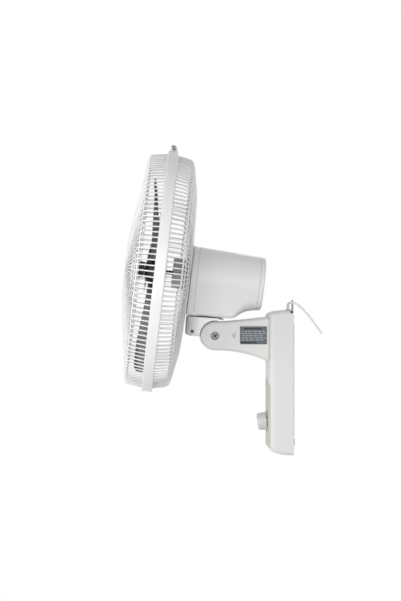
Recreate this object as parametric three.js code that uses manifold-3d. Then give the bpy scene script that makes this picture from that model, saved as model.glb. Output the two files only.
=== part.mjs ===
// An oscillating wall fan with a 40 cm rotor: a wall column with a speed knob, a forked arm,
// a tilting neck, and a head with motor, blade and wire cage.
// Millimetres. +X is lateral, -Y is the way the fan blows, +Z is up, and the wall is y = 0.
// Inside the head the same letters hold in the head's own tilted frame: -Y is the rotor's axis.

import * as THREE from 'three';
import { mergeVertices, toCreasedNormals } from 'three/addons/utils/BufferGeometryUtils.js';
import Module from 'manifold-3d';

const wasm = await Module();
wasm.setup();

// ---------------------------------------------------------------- driving sizes

const seam = 0.3; // clear gap between two pieces that touch
const running = 0.3; // radial clearance of a shaft in its hole

// wall column
const columnWidth = 96;
const columnHeight = 265;
const columnDepth = 45.8;
const columnCorner = 9;
const columnFillet = 10; // round of the front edge down both sides
const topRise = 10; // the long round over the top: its height, and its run back from the front
const topRun = 31;
const footRise = 16.6;
const footRun = 40;
const columnWall = 3.2;
const columnTop = columnHeight / 2;
const columnStandOff = 2.5; // from the wall to the column's back edge
const backCoverThickness = 2.4;
const padThickness = 2.2;
const padSize = 12;
const padLift = 12.3; // from the lower cover screws up to the middle of the pads
const bossRadius = 4.5;
const bossInset = [7, 9]; // of the cover screws, from the column's inner corners
const plateScrewHeight = 52;
const screwHole = 1.9; // radius of a pilot hole
const clearHole = 2.3; // and of a hole that a screw passes through
const platePostLength = 10;

// steel mounting plate
const plateThickness = 2.2;
const plateWidth = 60;
const plateCorner = 10;
const plateBottom = 32.5 - columnTop;
const plateTop = columnTop - 20.5;
const earTop = columnTop + 19.9;
const earBaseWidth = 40;
const earTipRadius = 11;
const earHoleRadius = 3.5;
const keyholeRadius = 3.5;
const keyholeHeight = 50.5 - columnTop;

// control panel, switch and knob
const panelThickness = 1.5;
const panelWidth = 91;
const panelBottom = 13.9 - columnTop;
const panelShoulder = 126.8 - columnTop;
const panelArch = 12.9;
const dialRadius = 20;
const dialDepth = 0.8;
const knobHeight = 60.5 - columnTop; // height of the knob's centre
const knobRadius = 17;
const knobTopRadius = 15.4;
const knobLength = 15.6;
const knobPlay = 1.4; // between the knob's foot and the dial's dish
const knobFloor = 2.2; // its closed end
const gripWidth = 1.6; // of its pointer
const knobLean = 5.5; // the knob's face looks down by this many degrees
const spindleRadius = 3;
const switchWidth = 32;
const switchDepth = 15;
const switchGap = 2.4; // between the shell's inner face and the switch
const bushingRadius = 7;
const spindleGrip = 8.2; // depth of the spindle in the switch

// cord and its grommet
const cordExit = [14, -10.5];
const cordWidth = 5.6;
const cordThickness = 3.2;
const bushPlay = 0.4;
const bushRadius = 5.2;
const bushFlange = 7;
const bushLength = 6.5;
const bushHeight = 1.6;

// electrical pieces behind the cover
const capacitorSize = [38, 16, 26];
const capacitorTop = columnTop - 106.5;
const terminalSize = [40, 12, 14];
const terminalBottom = columnTop - 58.5;
const terminalPitch = 12;
const terminalHole = 2.4;

// arm and fork
const pivotReach = 145.7; // from the wall to the tilt pivot
const pivotHeight = columnTop - 46.9;
const cheekRadius = 26.5;
const armHalfWidth = 33;
const armRootHalfWidth = 45;
const armWall = 3;
const armRootTop = columnTop - 12.5;
const armRootBottom = columnTop - 93.8;
const flareStart = 30; // behind the pivot, where the arm starts to widen
const riseStart = 20; // and where its top starts to rise
const armCorner = 6;
const cheekThickness = 12.7;
const tongueRadius = 22;
const washerThickness = 1;
const washerRadius = 12;
const tiltBoltRadius = 4;
const tiltHeadRadius = 6.6;
const tiltHeadHeight = 3.2;
const armScrewSpread = 44;
const armScrewDrop = 7.5; // of the two screws below the root's top edge
const armBossRadius = 5;
const armBossLength = 14;
const wireHoleHalf = [14, 12]; // of the passage from the column into the arm
const forkHoleHalf = 7; // and on into the fork
const platePlaqueLength = 49.4;
const platePlaqueHeight = 32.7;
const plaqueThickness = 0.5;
const plaqueBack = 2; // of its end from the column
const plaqueRise = 1.4; // of its middle above the pivot
const plaqueEdge = 10; // least height above the arm's lower edge

// neck
const swingLean = 4.2; // degrees that the swing axis leans back from the vertical
const swingForward = 19.9; // from the tilt pivot forward to the swing axis
const neckTop = 32.4;
const deckThickness = 2.2;
const deckRadius = 35;
const neckBottom = -3;
const neckFrontCorner = 7;
const neckScrewPlace = [-42.3, 5.3];
const neckScrewRecess = 3.3;
const pivotShaftRadius = 6;
const pivotDepth = 20; // of the pivot in the neck
const pivotBossRadius = 10;
const pivotBossTop = 6.6; // above the neck's deck, as are the next heights
const swingNutRear = 12.4;
const anchorDepth = 8; // of the link's fixed pin in the neck
const swingGap = 1.7; // between the neck's deck and the housing's floor
const swingWasherRadius = 33;
const anchorRadius = 20; // from the swing axis to the link's fixed pin
const anchorPinRadius = 1.9;
const swingLimit = 40;

// head
const headLean = 6.5; // degrees that the rotor's axis points up
const bandAhead = 89; // from the swing axis forward to the middle of the guard ring
const bandAbove = 78.6; // and up to it from the neck's deck
const ringWidth = 20;
const ringSheet = 2;
const ringLip = 4.7;
const rimPlay = 1.6; // radial play of the grilles' rims inside the guard ring
const clampGap = 3;
const clampEar = 3;
const clampScrewRadius = 2;
const clampScrewHeight = 6; // of the screw's axis above the ring

// wire cage
const wireCount = 24;
const wire = 2.4;
const rimRadius = 218.2;
const rimOffset = 4.6;
const sideInset = 2.8; // of the cage's side inside its rim
const cornerInset = 9.9; // and of its corner
const frontCorner = 42.2;
const frontRingRadius = 174;
const frontRingAhead = 43.8;
const hubRingRadius = 48.2;
const hubRingAhead = 63.6;
const rearCorner = 40.1;
const rearRingRadius = 148;
const rearRingBehind = 50.6;
const rearHubRadius = 58;
const rearHubBehind = 54.9;
const badgeRadius = 46.2;
const badgeThickness = 3.6;
const badgeFlange = 1.5;

// motor
const housingFront = 56.8; // from the band's centre back to the housing's front face
const coverDepth = 11.6;
const coverRadius = 54.8;
const coverTaper = 1.5;
const housingTaper = 0.0509; // fall of the radius for each millimetre of length
const housingEnd = 192.6;
const capDepth = 9;
const capEdge = 4;
const capScrewHeight = -34;
const capScrewRecess = 3.2;
const capBossRadius = 6;
const ventPitch = 11;
const ventWidth = 5;
const ventHalf = 20; // half length of the longest vent
const housingWall = 2.5;
const pedestalHalfWidth = 35;
const pedestalCorner = 12;
const pedestalRear = 136;
const lockNutRadius = 27.7;
const lockNutFront = 23;
const lockNutRear = 45.9;
const centrePlateSheet = 1.2;
const noseRadius = 13;
const noseFront = 27;
const shaftRadius = 4;
const shaftFront = 36;
const shaftRear = 160;
const bearingRadius = 9;
const bearingLength = 8;
const bracketRadius = 43.5;
const bracketWall = 2.5;
const bracketDisc = 3.5;
const statorRadius = 40.7;
const statorBore = 23.6;
const statorSlotRadius = 33;
const statorLength = 30;
const statorFront = 92;
const statorTeeth = 8;
const windingDepth = 14;
const rotorGap = 0.6;
const motorBoltRadius = 2;

// swing drive
const swingMotorRadius = 22;
const swingMotorDepth = 14;
const crankBehind = 34; // from the swing axis back to the crank's centre
const crankPinRadius = 1.5;
const linkThickness = 2;
const linkWidth = 7;
const openPivotPlay = 2.3; // play at the one pivot where the linkage is opened

// blade
const bladeCount = 3;
const bladeTip = 190;
const bladeStations = [0.22, 0.485, 0.71, 0.87, 0.96, 1]; // shares of the way from the hub to the tip
const bladeThickness = 2.2;
const bladeFront = 28;
const bladeRear = 8;
const bladeSpan = 106; // degrees of arc that one blade covers
const bladePhase = 131;
const hubRadius = 23;
const hubFront = 22;
const hubNose = 14.5;
const hubConeLength = 7;
const hubRear = 11;
const spinnerRadius = 15;
const spinnerLength = 10.7;
const drivePinRadius = 1.5;
const drivePinLength = 22;

const ringRadius = rimRadius + wire / 2 + rimPlay + ringSheet;
const sideRadius = rimRadius - sideInset;
const cornerRadius = rimRadius - cornerInset;

// ---------------------------------------------------------------- finishes

function finish(colour, roughness, metalness = 0) {
  return new THREE.MeshStandardMaterial({ color: colour, roughness, metalness });
}

const white = finish('#dcdcdc', 0.4);
const offWhite = finish('#d6d5d2', 0.42);
const greige = finish('#bebdb1', 0.5);
const paleGrey = finish('#9ea1a6', 0.45);
const black = finish('#0b0b0c', 0.35);
const navy = finish('#21252f', 0.22);
const enamel = finish('#e4e5e6', 0.35);
const steel = finish('#a9aaab', 0.35, 1);
const zinc = finish('#b9babb', 0.3, 1);
const foil = finish('#80848a', 0.3, 1);
const castAlloy = finish('#9a9c9e', 0.5, 1);
const laminations = finish('#6a6b6e', 0.5, 1);
const copper = finish('#a4592c', 0.4, 1);
const bronze = finish('#a98546', 0.4, 1);
const rubber = finish('#d8d7d0', 0.8);
const vinyl = finish('#e4e4e4', 0.45);
const phenolic = finish('#2c2a28', 0.5);
const capacitorGrey = finish('#c9c9c4', 0.5);

// ---------------------------------------------------------------- solid helpers

function radians(degrees) {
  return degrees * Math.PI / 180;
}

function bare(geometry) {
  const plain = geometry.index ? geometry.toNonIndexed() : geometry.clone();
  plain.deleteAttribute('normal');
  plain.deleteAttribute('uv');
  return mergeVertices(plain, 1e-4);
}

function toSolid(geometry) {
  const merged = bare(geometry);
  const positions = Float32Array.from(merged.attributes.position.array);
  let triangles = Uint32Array.from(merged.index.array);
  triangles = withoutSlivers(triangles);
  if (signedVolume(positions, triangles) < 0) {
    for (let i = 0; i < triangles.length; i += 3) {
      [triangles[i + 1], triangles[i + 2]] = [triangles[i + 2], triangles[i + 1]];
    }
  }
  return new wasm.Manifold(new wasm.Mesh({ numProp: 3, vertProperties: positions, triVerts: triangles }));
}

function withoutSlivers(triangles) {
  const kept = [];
  for (let i = 0; i < triangles.length; i += 3) {
    const [a, b, c] = triangles.subarray(i, i + 3);
    if (a !== b && b !== c && c !== a) kept.push(a, b, c);
  }
  return Uint32Array.from(kept);
}

function signedVolume(positions, triangles) {
  let sum = 0;
  const [p, q, r] = [new THREE.Vector3(), new THREE.Vector3(), new THREE.Vector3()];
  for (let i = 0; i < triangles.length; i += 3) {
    p.fromArray(positions, 3 * triangles[i]);
    q.fromArray(positions, 3 * triangles[i + 1]);
    r.fromArray(positions, 3 * triangles[i + 2]);
    sum += p.dot(q.cross(r)) / 6;
  }
  return sum;
}

function toGeometry(solid) {
  const mesh = solid.getMesh();
  const geometry = new THREE.BufferGeometry();
  geometry.setAttribute('position', new THREE.BufferAttribute(Float32Array.from(mesh.vertProperties), 3));
  geometry.setIndex(Array.from(mesh.triVerts));
  return geometry;
}

function moved(geometry, x = 0, y = 0, z = 0) {
  return geometry.clone().translate(x, y, z);
}

// A closed body of revolution round the Y axis; each point is [radius, y].
function lathe(points, steps = 32, start = 0) {
  const closed = points[0][0] === 0 ? points : [...points, points[0]];
  const profile = closed.map(([radius, y]) => new THREE.Vector2(radius, y));
  return toSolid(new THREE.LatheGeometry(profile, steps, start));
}

// A round bar along Y, from y0 to y1.
function bar(radius, y0, y1, steps = 24) {
  return lathe([[0, y0], [radius, y0], [radius, y1], [0, y1]], steps);
}

// A round bar along Z or X, centred on a point of the other two axes.
function barZ(radius, x, y, z0, z1, steps = 20) {
  return bar(radius, z0, z1, steps).rotate([90, 0, 0]).translate([x, y, 0]);
}

function barX(radius, y, z, x0, x1, steps = 20) {
  return bar(radius, -x1, -x0, steps).rotate([0, 0, 90]).translate([0, y, z]);
}

function block(x0, x1, y0, y1, z0, z1) {
  const box = new THREE.BoxGeometry(x1 - x0, y1 - y0, z1 - z0);
  return toSolid(moved(box, (x0 + x1) / 2, (y0 + y1) / 2, (z0 + z1) / 2));
}

// Joins rings of equal point counts into one closed body with flat fans at both ends.
function loft(rings) {
  const points = rings.flat();
  const size = rings[0].length;
  const triangles = [];
  for (let i = 0; i + 1 < rings.length; i += 1) {
    for (let j = 0; j < size; j += 1) {
      const k = (j + 1) % size;
      const [a, b, c, d] = [i * size + j, i * size + k, (i + 1) * size + k, (i + 1) * size + j];
      triangles.push(a, b, c, a, c, d);
    }
  }
  for (const [i, ring] of [[0, rings[0]], [rings.length - 1, rings[rings.length - 1]]]) {
    const centre = new THREE.Vector3();
    ring.forEach((point) => centre.addScaledVector(point, 1 / size));
    points.push(centre);
    for (let j = 0; j < size; j += 1) {
      const k = (j + 1) % size;
      const edge = i === 0 ? [k, j] : [j, k];
      triangles.push(i * size + edge[0], i * size + edge[1], points.length - 1);
    }
  }
  const geometry = new THREE.BufferGeometry();
  const flat = points.flatMap((point) => [point.x, point.y, point.z]);
  geometry.setAttribute('position', new THREE.Float32BufferAttribute(flat, 3));
  geometry.setIndex(triangles);
  return toSolid(geometry);
}

// The corners of a rounded rectangle as [u, v] pairs, counted anticlockwise.
function roundedRectangle(halfU, halfV, radius, steps = 3) {
  const points = [];
  for (let corner = 0; corner < 4; corner += 1) {
    const signU = corner === 0 || corner === 3 ? 1 : -1;
    const signV = corner < 2 ? 1 : -1;
    for (let i = 0; i <= steps; i += 1) {
      const angle = radians(90 * (corner + i / steps));
      const u = signU * (halfU - radius) + radius * Math.cos(angle);
      const v = signV * (halfV - radius) + radius * Math.sin(angle);
      points.push([u, v]);
    }
  }
  return points;
}

// An outline of [u, v] points pushed straight through a thickness, with u along X and v along Z.
function slabY(outline, y0, y1) {
  return loft([y0, y1].map((y) => outline.map(([x, z]) => new THREE.Vector3(x, y, z))));
}

// The same with u along Y and v along Z, from x0 to x1.
function slabX(outline, x0, x1) {
  return loft([x0, x1].map((x) => outline.map(([y, z]) => new THREE.Vector3(x, y, z))));
}

// The same with u along X and v along Y, from z0 to z1.
function slabZ(outline, z0, z1) {
  return loft([z0, z1].map((z) => outline.map(([x, y]) => new THREE.Vector3(x, y, z))));
}

// A pan-head screw along +Y with its head towards -Y, its head's underside at y = 0.
function screw(headRadius, headHeight, shankRadius, length, steps = 12, crossed = true) {
  const body = lathe([
    [0, -headHeight],
    [headRadius * 0.72, -headHeight],
    [headRadius, -headHeight * 0.45],
    [headRadius, 0],
    [shankRadius, 0],
    [shankRadius, length],
    [0, length],
  ], steps);
  if (!crossed) return body;
  const slotHalf = headRadius * 0.11;
  const reach = headRadius * 0.55;
  const deep = -headHeight * 0.4;
  const slots = block(-slotHalf, slotHalf, -headHeight - 1, deep, -reach, reach)
    .add(block(-reach, reach, -headHeight - 1, deep, -slotHalf, slotHalf));
  return body.subtract(slots);
}

function hexagon(radius) {
  return Array.from({ length: 6 }, (_, i) => {
    const angle = radians(60 * i);
    return [radius * Math.cos(angle), radius * Math.sin(angle)];
  });
}

function add(group, name, solid, material) {
  const mesh = new THREE.Mesh(toCreasedNormals(toGeometry(solid), radians(35)), material.clone());
  mesh.name = name;
  group.add(mesh);
  return mesh;
}

// ---------------------------------------------------------------- wall column

const columnBack = -columnStandOff;
const columnFront = columnBack - columnDepth;
const innerHalfWidth = columnWidth / 2 - columnWall;
const innerHalfHeight = columnHeight / 2 - columnWall;
const lidRear = -plateThickness - seam;
const lidFront = lidRear - backCoverThickness;
const [bossX, bossZ] = [innerHalfWidth - bossInset[0], innerHalfHeight - bossInset[1]];
const bossPlaces = [[-bossX, -bossZ], [-bossX, bossZ], [bossX, -bossZ], [bossX, bossZ]];
const platePosts = [-plateScrewHeight, plateScrewHeight].map((z) => [0, z]);

// How far an elliptical round with this rise and run is drawn in at a depth behind its start.
function roundOver(depth, rise, run) {
  const ahead = Math.max(0, 1 - depth / run);
  return rise * (1 - Math.sqrt(1 - ahead ** 2));
}

// The column's rounded block, drawn in by a margin on every side; its back stays open-ended.
function columnBlock(margin, back) {
  const side = Math.max(columnFillet - margin, 2);
  const [top, foot] = [topRun - margin, footRun - margin];
  const depths = [0, 0.134 * side, 0.5 * side, side, top * 0.55, top * 0.8, foot * 0.9, foot];
  const rings = depths.map((depth) => columnRing(margin, depth, columnFront + margin + depth));
  return loft([...rings, columnRing(margin, foot, back)]);
}

function columnRing(margin, depth, y) {
  const side = Math.max(columnFillet - margin, 2);
  const half = columnWidth / 2 - margin - roundOver(depth, side, side);
  const top = columnHeight / 2 - margin - roundOver(depth, topRise - margin, topRun - margin);
  const bottom = -columnHeight / 2 + margin + roundOver(depth, footRise - margin, footRun - margin);
  const corner = Math.max(columnCorner - columnWidth / 2 + half, 1);
  const outline = roundedRectangle(half, (top - bottom) / 2, corner);
  return outline.map(([x, z]) => new THREE.Vector3(x, y, z + (top + bottom) / 2));
}

// The arched field of the control panel, grown by a margin, as a prism through the column's front.
function panelField(margin) {
  const half = panelWidth / 2 + margin;
  const top = panelShoulder + margin;
  const arch = Array.from({ length: 13 }, (_, i) => {
    const x = half * (1 - i / 6);
    return [x, top + panelArch * (1 - (x / half) ** 2)];
  });
  const outline = [[-half, panelBottom - margin], [half, panelBottom - margin], ...arch];
  return slabY(outline, columnFront - 5, columnFront + columnFillet);
}

// The part of the field that lies outside a block drawn in by a depth.
function fieldOutside(depth, margin) {
  return panelField(margin).subtract(columnBlock(depth, columnBack + 5));
}

function knobPlaced(solid) {
  return solid.rotate([knobLean, 0, 0]).translate([0, columnFront + dialDepth, knobHeight]);
}

function columnShell() {
  const hollow = columnBlock(columnWall, columnBack + 5);
  let shell = columnBlock(0, columnBack).subtract(hollow);
  for (const [x, z] of bossPlaces) {
    const boss = bar(bossRadius, columnFront, lidFront - seam, 8).translate([x, 0, z]);
    shell = shell.add(boss.intersect(columnBlock(columnWall / 2, columnBack)));
    shell = shell.subtract(bar(screwHole, lidFront - 14, lidFront + 1, 8).translate([x, 0, z]));
  }
  shell = shell.subtract(fieldOutside(panelThickness + 2 * seam, 1.5 * seam));
  shell = shell.subtract(knobPlaced(bar(spindleRadius + 1.5, -10, 20, 16)));
  for (const [x, z] of armScrewPlaces()) {
    const hole = bar(clearHole, columnFront - 1, columnFront + columnFillet, 12);
    shell = shell.subtract(hole.translate([x, 0, z]));
  }
  const [halfX, halfZ] = wireHoleHalf;
  const passage = block(-halfX, halfX, columnFront - 1, columnFront + columnFillet, -halfZ, halfZ);
  shell = shell.subtract(passage.translate([0, 0, pivotHeight]));
  const [x, y] = cordExit;
  return shell.subtract(barZ(bushRadius + seam, x, y, columnTop - bushLength - 2, columnTop + 4, 16));
}

function controlPanel() {
  const dish = bar(dialRadius, -5, dialDepth, 32).translate([0, columnFront, knobHeight]);
  const hole = knobPlaced(bar(spindleRadius + 1.2, -10, 12, 16));
  const layer = columnBlock(0, columnBack).intersect(fieldOutside(panelThickness, 0));
  return layer.subtract(dish).subtract(hole);
}

function backCover() {
  const outline = roundedRectangle(innerHalfWidth - seam, innerHalfHeight - seam, columnCorner - columnWall);
  let cover = slabY(outline, lidFront, lidRear);
  for (const [x, z] of bossPlaces) {
    cover = cover.subtract(bar(screwHole + seam, lidFront - 1, lidRear + 1, 8).translate([x, 0, z]));
  }
  for (const [x, z] of platePosts) {
    cover = cover.add(bar(bossRadius, lidFront - platePostLength, lidFront + 0.5, 8).translate([x, 0, z]));
    const hole = bar(screwHole, lidFront - platePostLength - 4, lidRear + 1, 8);
    cover = cover.subtract(hole.translate([x, 0, z]));
  }
  return cover;
}

function mountingPlate() {
  const half = plateWidth / 2;
  const tip = earTop - earTipRadius;
  const earTip = Array.from({ length: 9 }, (_, i) => {
    const angle = radians(22.5 * i);
    return [earTipRadius * Math.cos(angle), tip + earTipRadius * Math.sin(angle)];
  });
  const outline = [
    [-half, plateBottom], [half, plateBottom], [half, plateTop - plateCorner], [earBaseWidth / 2, plateTop],
    ...earTip, [-earBaseWidth / 2, plateTop], [-half, plateTop - plateCorner],
  ];
  let plate = slabY(outline, -plateThickness, 0);
  plate = plate.subtract(bar(earHoleRadius, -5, 5, 16).translate([0, 0, tip]));
  plate = plate.subtract(bar(keyholeRadius, -5, 5, 16).translate([0, 0, keyholeHeight]));
  for (const [x, z] of platePosts) {
    plate = plate.subtract(bar(4.2 + running, -5, 5, 16).translate([x, 0, z]));
  }
  return plate;
}

function cableBush() {
  const top = columnTop;
  const bore = cordWidth / 2 + bushPlay;
  const profile = [
    [bore, top - bushLength], [bushRadius, top - bushLength], [bushRadius, top + seam],
    [bushFlange, top + seam], [bushFlange - 1.2, top + bushHeight], [bore, top + bushHeight],
  ];
  return lathe(profile, 20).rotate([90, 0, 0]).translate([cordExit[0], cordExit[1], 0]);
}

// Hand-chosen route of the flat twin flex, from inside the bush to its bare end.
const cordRoute = [
  [14, -10.5, 127], [14, -10.5, 129.6], [14, -10.5, 132], [14.6, -10.7, 136.2], [16.5, -10.8, 140.2],
  [19.5, -10.4, 143.5], [23, -8.9, 145.9], [26.6, -6.4, 147], [29.8, -3.3, 146.9], [32.5, 0.1, 145.9],
  [34.6, 3.6, 144], [36.2, 7, 141.6], [38.9, 15.7, 133.7], [41.1, 24.5, 123.4], [43.1, 32.7, 112.6],
  [45.3, 40.6, 101.6], [48.7, 48.4, 90.7],
];

function powerCord() {
  const points = cordRoute.map((point) => new THREE.Vector3(...point));
  const section = Array.from({ length: 8 }, (_, i) => {
    const angle = radians(45 * i + 22.5);
    return new THREE.Vector2(cordThickness / 2 * Math.cos(angle), cordWidth / 2 * Math.sin(angle));
  });
  const extrudePath = new THREE.CatmullRomCurve3(points);
  return toSolid(new THREE.ExtrudeGeometry(new THREE.Shape(section), { steps: 22, extrudePath }));
}

const switchFront = columnWall + seam + switchGap;

function rotarySwitch() {
  const half = switchWidth / 2;
  return knobPlaced(block(-half, half, switchFront, switchFront + switchDepth, -half + 4, half - 4)
    .add(bar(bushingRadius, switchFront - switchGap / 2, switchFront + 1, 20))
    .subtract(bar(spindleRadius + running, switchFront - switchGap, switchFront + spindleGrip + seam, 20)));
}

function switchSpindle() {
  return knobPlaced(bar(spindleRadius, 4 + seam - knobLength, switchFront + spindleGrip, 20));
}

function speedKnob() {
  const foot = -dialDepth - knobPlay;
  const face = -knobLength - knobFloor;
  const body = lathe([
    [0, face], [knobTopRadius - 1.4, face], [knobTopRadius, face + 1.3],
    [knobRadius - 0.7, foot - 3.6], [knobRadius, foot - 3], [knobRadius, foot], [0, foot],
  ], 24);
  const pointer = block(-gripWidth / 2, gripWidth / 2, face - 0.6, face + knobFloor, 4, knobTopRadius - 2.5);
  const bore = bar(spindleRadius + seam, 3.7 - knobLength, 0, 20);
  return knobPlaced(body.add(pointer).subtract(bore));
}

function runCapacitor() {
  const [width, depth, height] = capacitorSize;
  const body = block(-width / 2, width / 2, -depth, -seam, -height, 0);
  const notch = block(-width / 6, width / 6, -depth - 1, 1 - depth, -2, 1);
  return body.subtract(notch).translate([0, lidFront, capacitorTop]);
}

function terminalBlock() {
  const [width, depth, height] = terminalSize;
  let strip = block(-width / 2, width / 2, -depth, -seam, 0, height);
  for (const x of [-terminalPitch, 0, terminalPitch]) {
    strip = strip.subtract(bar(terminalHole, -depth - 1, -depth / 2, 12).translate([x, 0, height / 2]));
  }
  return strip.translate([0, lidFront, terminalBottom]);
}

function wallPad(x) {
  const half = padSize / 2;
  const middle = padLift - bossZ;
  return slabY(roundedRectangle(half, half, 2, 2).map(([u, v]) => [x + u, middle + v]), -padThickness, 0);
}

// ---------------------------------------------------------------- arm

const armRoot = columnFront - seam;
const tongueHalf = armHalfWidth - cheekThickness;
const forkGap = washerThickness + 2 * seam;

function armScrewPlaces() {
  return [-1, 1].map((side) => [side * armScrewSpread / 2, armRootTop - armScrewDrop]);
}

// Half width, bottom and top of the arm at a distance behind the tilt pivot.
function armSection(behind, margin) {
  const reach = pivotReach + armRoot;
  if (behind < 0) {
    const radius = cheekRadius - margin;
    const half = Math.sqrt(Math.max(radius ** 2 - behind ** 2, 1));
    return [armHalfWidth - margin, -half, half];
  }
  const flare = Math.max(0, (behind - flareStart) / (reach - flareStart));
  const rise = Math.max(0, (behind - riseStart) / (reach - riseStart));
  const drop = (behind / reach) ** 2.2;
  const halfWidth = armHalfWidth + (armRootHalfWidth - armHalfWidth) * flare;
  const top = cheekRadius + (armRootTop - pivotHeight - cheekRadius) * rise;
  const bottom = -cheekRadius - (pivotHeight - armRootBottom - cheekRadius) * drop;
  return [halfWidth - margin, bottom + margin, top - margin];
}

function armLoft(places, margin) {
  return loft(places.map((behind) => {
    const [half, bottom, top] = armSection(behind, margin);
    const corner = Math.max(Math.min(armCorner - margin, (top - bottom) / 2 - 0.1), 0.6);
    const y = -pivotReach + behind;
    const middle = pivotHeight + (top + bottom) / 2;
    const outline = roundedRectangle(half, (top - bottom) / 2, corner);
    return outline.map(([x, z]) => new THREE.Vector3(x, y, z + middle));
  }));
}

function arm() {
  const reach = pivotReach + armRoot;
  const nose = [88, 75, 60, 45, 30, 15].map((angle) => -cheekRadius * Math.sin(radians(angle)));
  const along = [0.15, 0.31, 0.46, 0.62, 0.77, 0.91, 1].map((share) => share * reach);
  const slotEnd = tongueRadius + 2;
  const hollowStart = slotEnd + 16;
  let body = armLoft([...nose, 0, ...along], 0);
  const hollow = [hollowStart, ...along.filter((y) => y > hollowStart + 2), reach + 1];
  body = body.subtract(armLoft(hollow, armWall));
  const works = [
    block(-tongueHalf, tongueHalf, -cheekRadius - 2, slotEnd, -cheekRadius - 13, cheekRadius + 13),
    block(-forkHoleHalf, forkHoleHalf, slotEnd - 2, hollowStart + 2, -forkHoleHalf, forkHoleHalf),
    barX(tiltBoltRadius + running, 0, 0, -armHalfWidth - 1, armHalfWidth + 1, 20),
    barX(tiltHeadRadius + 0.6, 0, 0, armHalfWidth - tiltHeadHeight - 0.6, armHalfWidth + 1, 24),
    barX(tiltHeadRadius + 1.6, 0, 0, -armHalfWidth - 1, 4.6 - armHalfWidth, 24),
  ];
  for (const work of works) {
    body = body.subtract(work.translate([0, -pivotReach, pivotHeight]));
  }
  for (const [x, z] of armScrewPlaces()) {
    body = body.add(bar(armBossRadius, armRoot - armBossLength, armRoot, 12).translate([x, 0, z]));
    body = body.subtract(bar(screwHole, armRoot - armBossLength + 3, armRoot + 1, 12).translate([x, 0, z]));
  }
  return body;
}

function tiltBolt() {
  const shank = 2 * armHalfWidth - tiltHeadHeight - 3;
  const head = screw(tiltHeadRadius, tiltHeadHeight, tiltBoltRadius, shank, 20);
  return head.rotate([0, 0, 90]).translate([armHalfWidth - tiltHeadHeight - 0.3, -pivotReach, pivotHeight]);
}

function tiltNut() {
  const nut = slabX(hexagon(tiltHeadRadius + 0.8), -armHalfWidth + 0.4, -armHalfWidth + 4.2);
  return nut.subtract(barX(tiltBoltRadius + running, 0, 0, -armHalfWidth - 2, -armHalfWidth + 6, 20))
    .translate([0, -pivotReach, pivotHeight]);
}

function tiltWasher(side) {
  const inner = tongueHalf - seam - washerThickness;
  const disc = barX(washerRadius, 0, 0, inner, inner + washerThickness, 24)
    .subtract(barX(tiltBoltRadius + running, 0, 0, inner - 1, inner + 3, 24));
  return (side > 0 ? disc : disc.rotate([0, 0, 180])).translate([0, -pivotReach, pivotHeight]);
}

function ratingPlaque() {
  const reach = pivotReach + armRoot;
  const slope = (armRootHalfWidth - armHalfWidth) / (reach - flareStart);
  const start = reach - plaqueBack - platePlaqueLength;
  const [half, bottom] = armSection(start, 0);
  const low = Math.max(plaqueRise - platePlaqueHeight / 2, bottom + plaqueEdge);
  const sheet = block(0, plaqueThickness, 0, platePlaqueLength, 0, platePlaqueHeight);
  return sheet.rotate([0, 0, -Math.atan(slope) * 180 / Math.PI])
    .translate([half + seam, -pivotReach + start, pivotHeight + low]);
}

// ---------------------------------------------------------------- neck, in a frame at the tilt pivot

const tongueHalfWidth = tongueHalf - forkGap;
const neckFront = -swingForward - deckRadius;

function neckBracket() {
  const corner = neckFrontCorner;
  const profile = [
    [neckFront, neckTop], [neckFront, neckBottom + corner],
    [neckFront + corner * 0.3, neckBottom + corner * 0.3],
    [neckFront + corner, neckBottom], [0, neckBottom], [0, neckTop],
  ];
  const plan = Array.from({ length: 25 }, (_, i) => {
    const angle = radians(180 + 7.5 * i);
    const x = Math.max(-armHalfWidth, Math.min(armHalfWidth, deckRadius * Math.cos(angle)));
    return [x, deckRadius * Math.sin(angle) - swingForward];
  });
  plan.push([armHalfWidth, 4], [-armHalfWidth, 4]);
  let body = slabX(profile, -armHalfWidth - 1, armHalfWidth + 1)
    .intersect(slabZ(plan, neckBottom - 1, neckTop + 1));
  body = body.add(barX(tongueRadius, 0, 0, -tongueHalfWidth, tongueHalfWidth, 32));
  for (const side of [-1, 1]) {
    const [a, b] = [side * tongueHalfWidth, side * (armHalfWidth + 5)];
    body = body.subtract(barX(cheekRadius + 1, 0, 0, Math.min(a, b), Math.max(a, b), 40));
  }
  body = body.add(barZ(deckRadius, 0, -swingForward, neckTop - deckThickness, neckTop, 40));
  body = body.subtract(barX(tiltBoltRadius + running, 0, 0, -50, 50, 20));
  const deck = [0, -swingForward, neckTop];
  const pivotHole = barZ(pivotShaftRadius + seam, 0, 0, -pivotDepth - seam, 1, 20);
  const pinHole = barZ(anchorPinRadius + seam, -anchorRadius, 0, -anchorDepth - seam, 1, 12);
  body = body.subtract(pivotHole.translate(deck)).subtract(pinHole.translate(deck));
  const [y, z] = neckScrewPlace;
  body = body.subtract(barX(neckScrewRecess, y, z, neckScrewSeat, armHalfWidth + 5, 16));
  return body.subtract(barX(1.9, y, z, neckScrewSeat - 13, armHalfWidth, 12));
}

const neckScrewAhead = neckScrewRecess - neckScrewPlace[0] - swingForward; // of the recess's front edge
const neckScrewSeat = Math.sqrt(deckRadius ** 2 - neckScrewAhead ** 2) - 1.2;

function neckScrew() {
  return screw(2.8, 1.6, 1.5, 11, 12).rotate([0, 0, 90])
    .translate([neckScrewSeat + 0.1, neckScrewPlace[0], neckScrewPlace[1]]);
}

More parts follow.
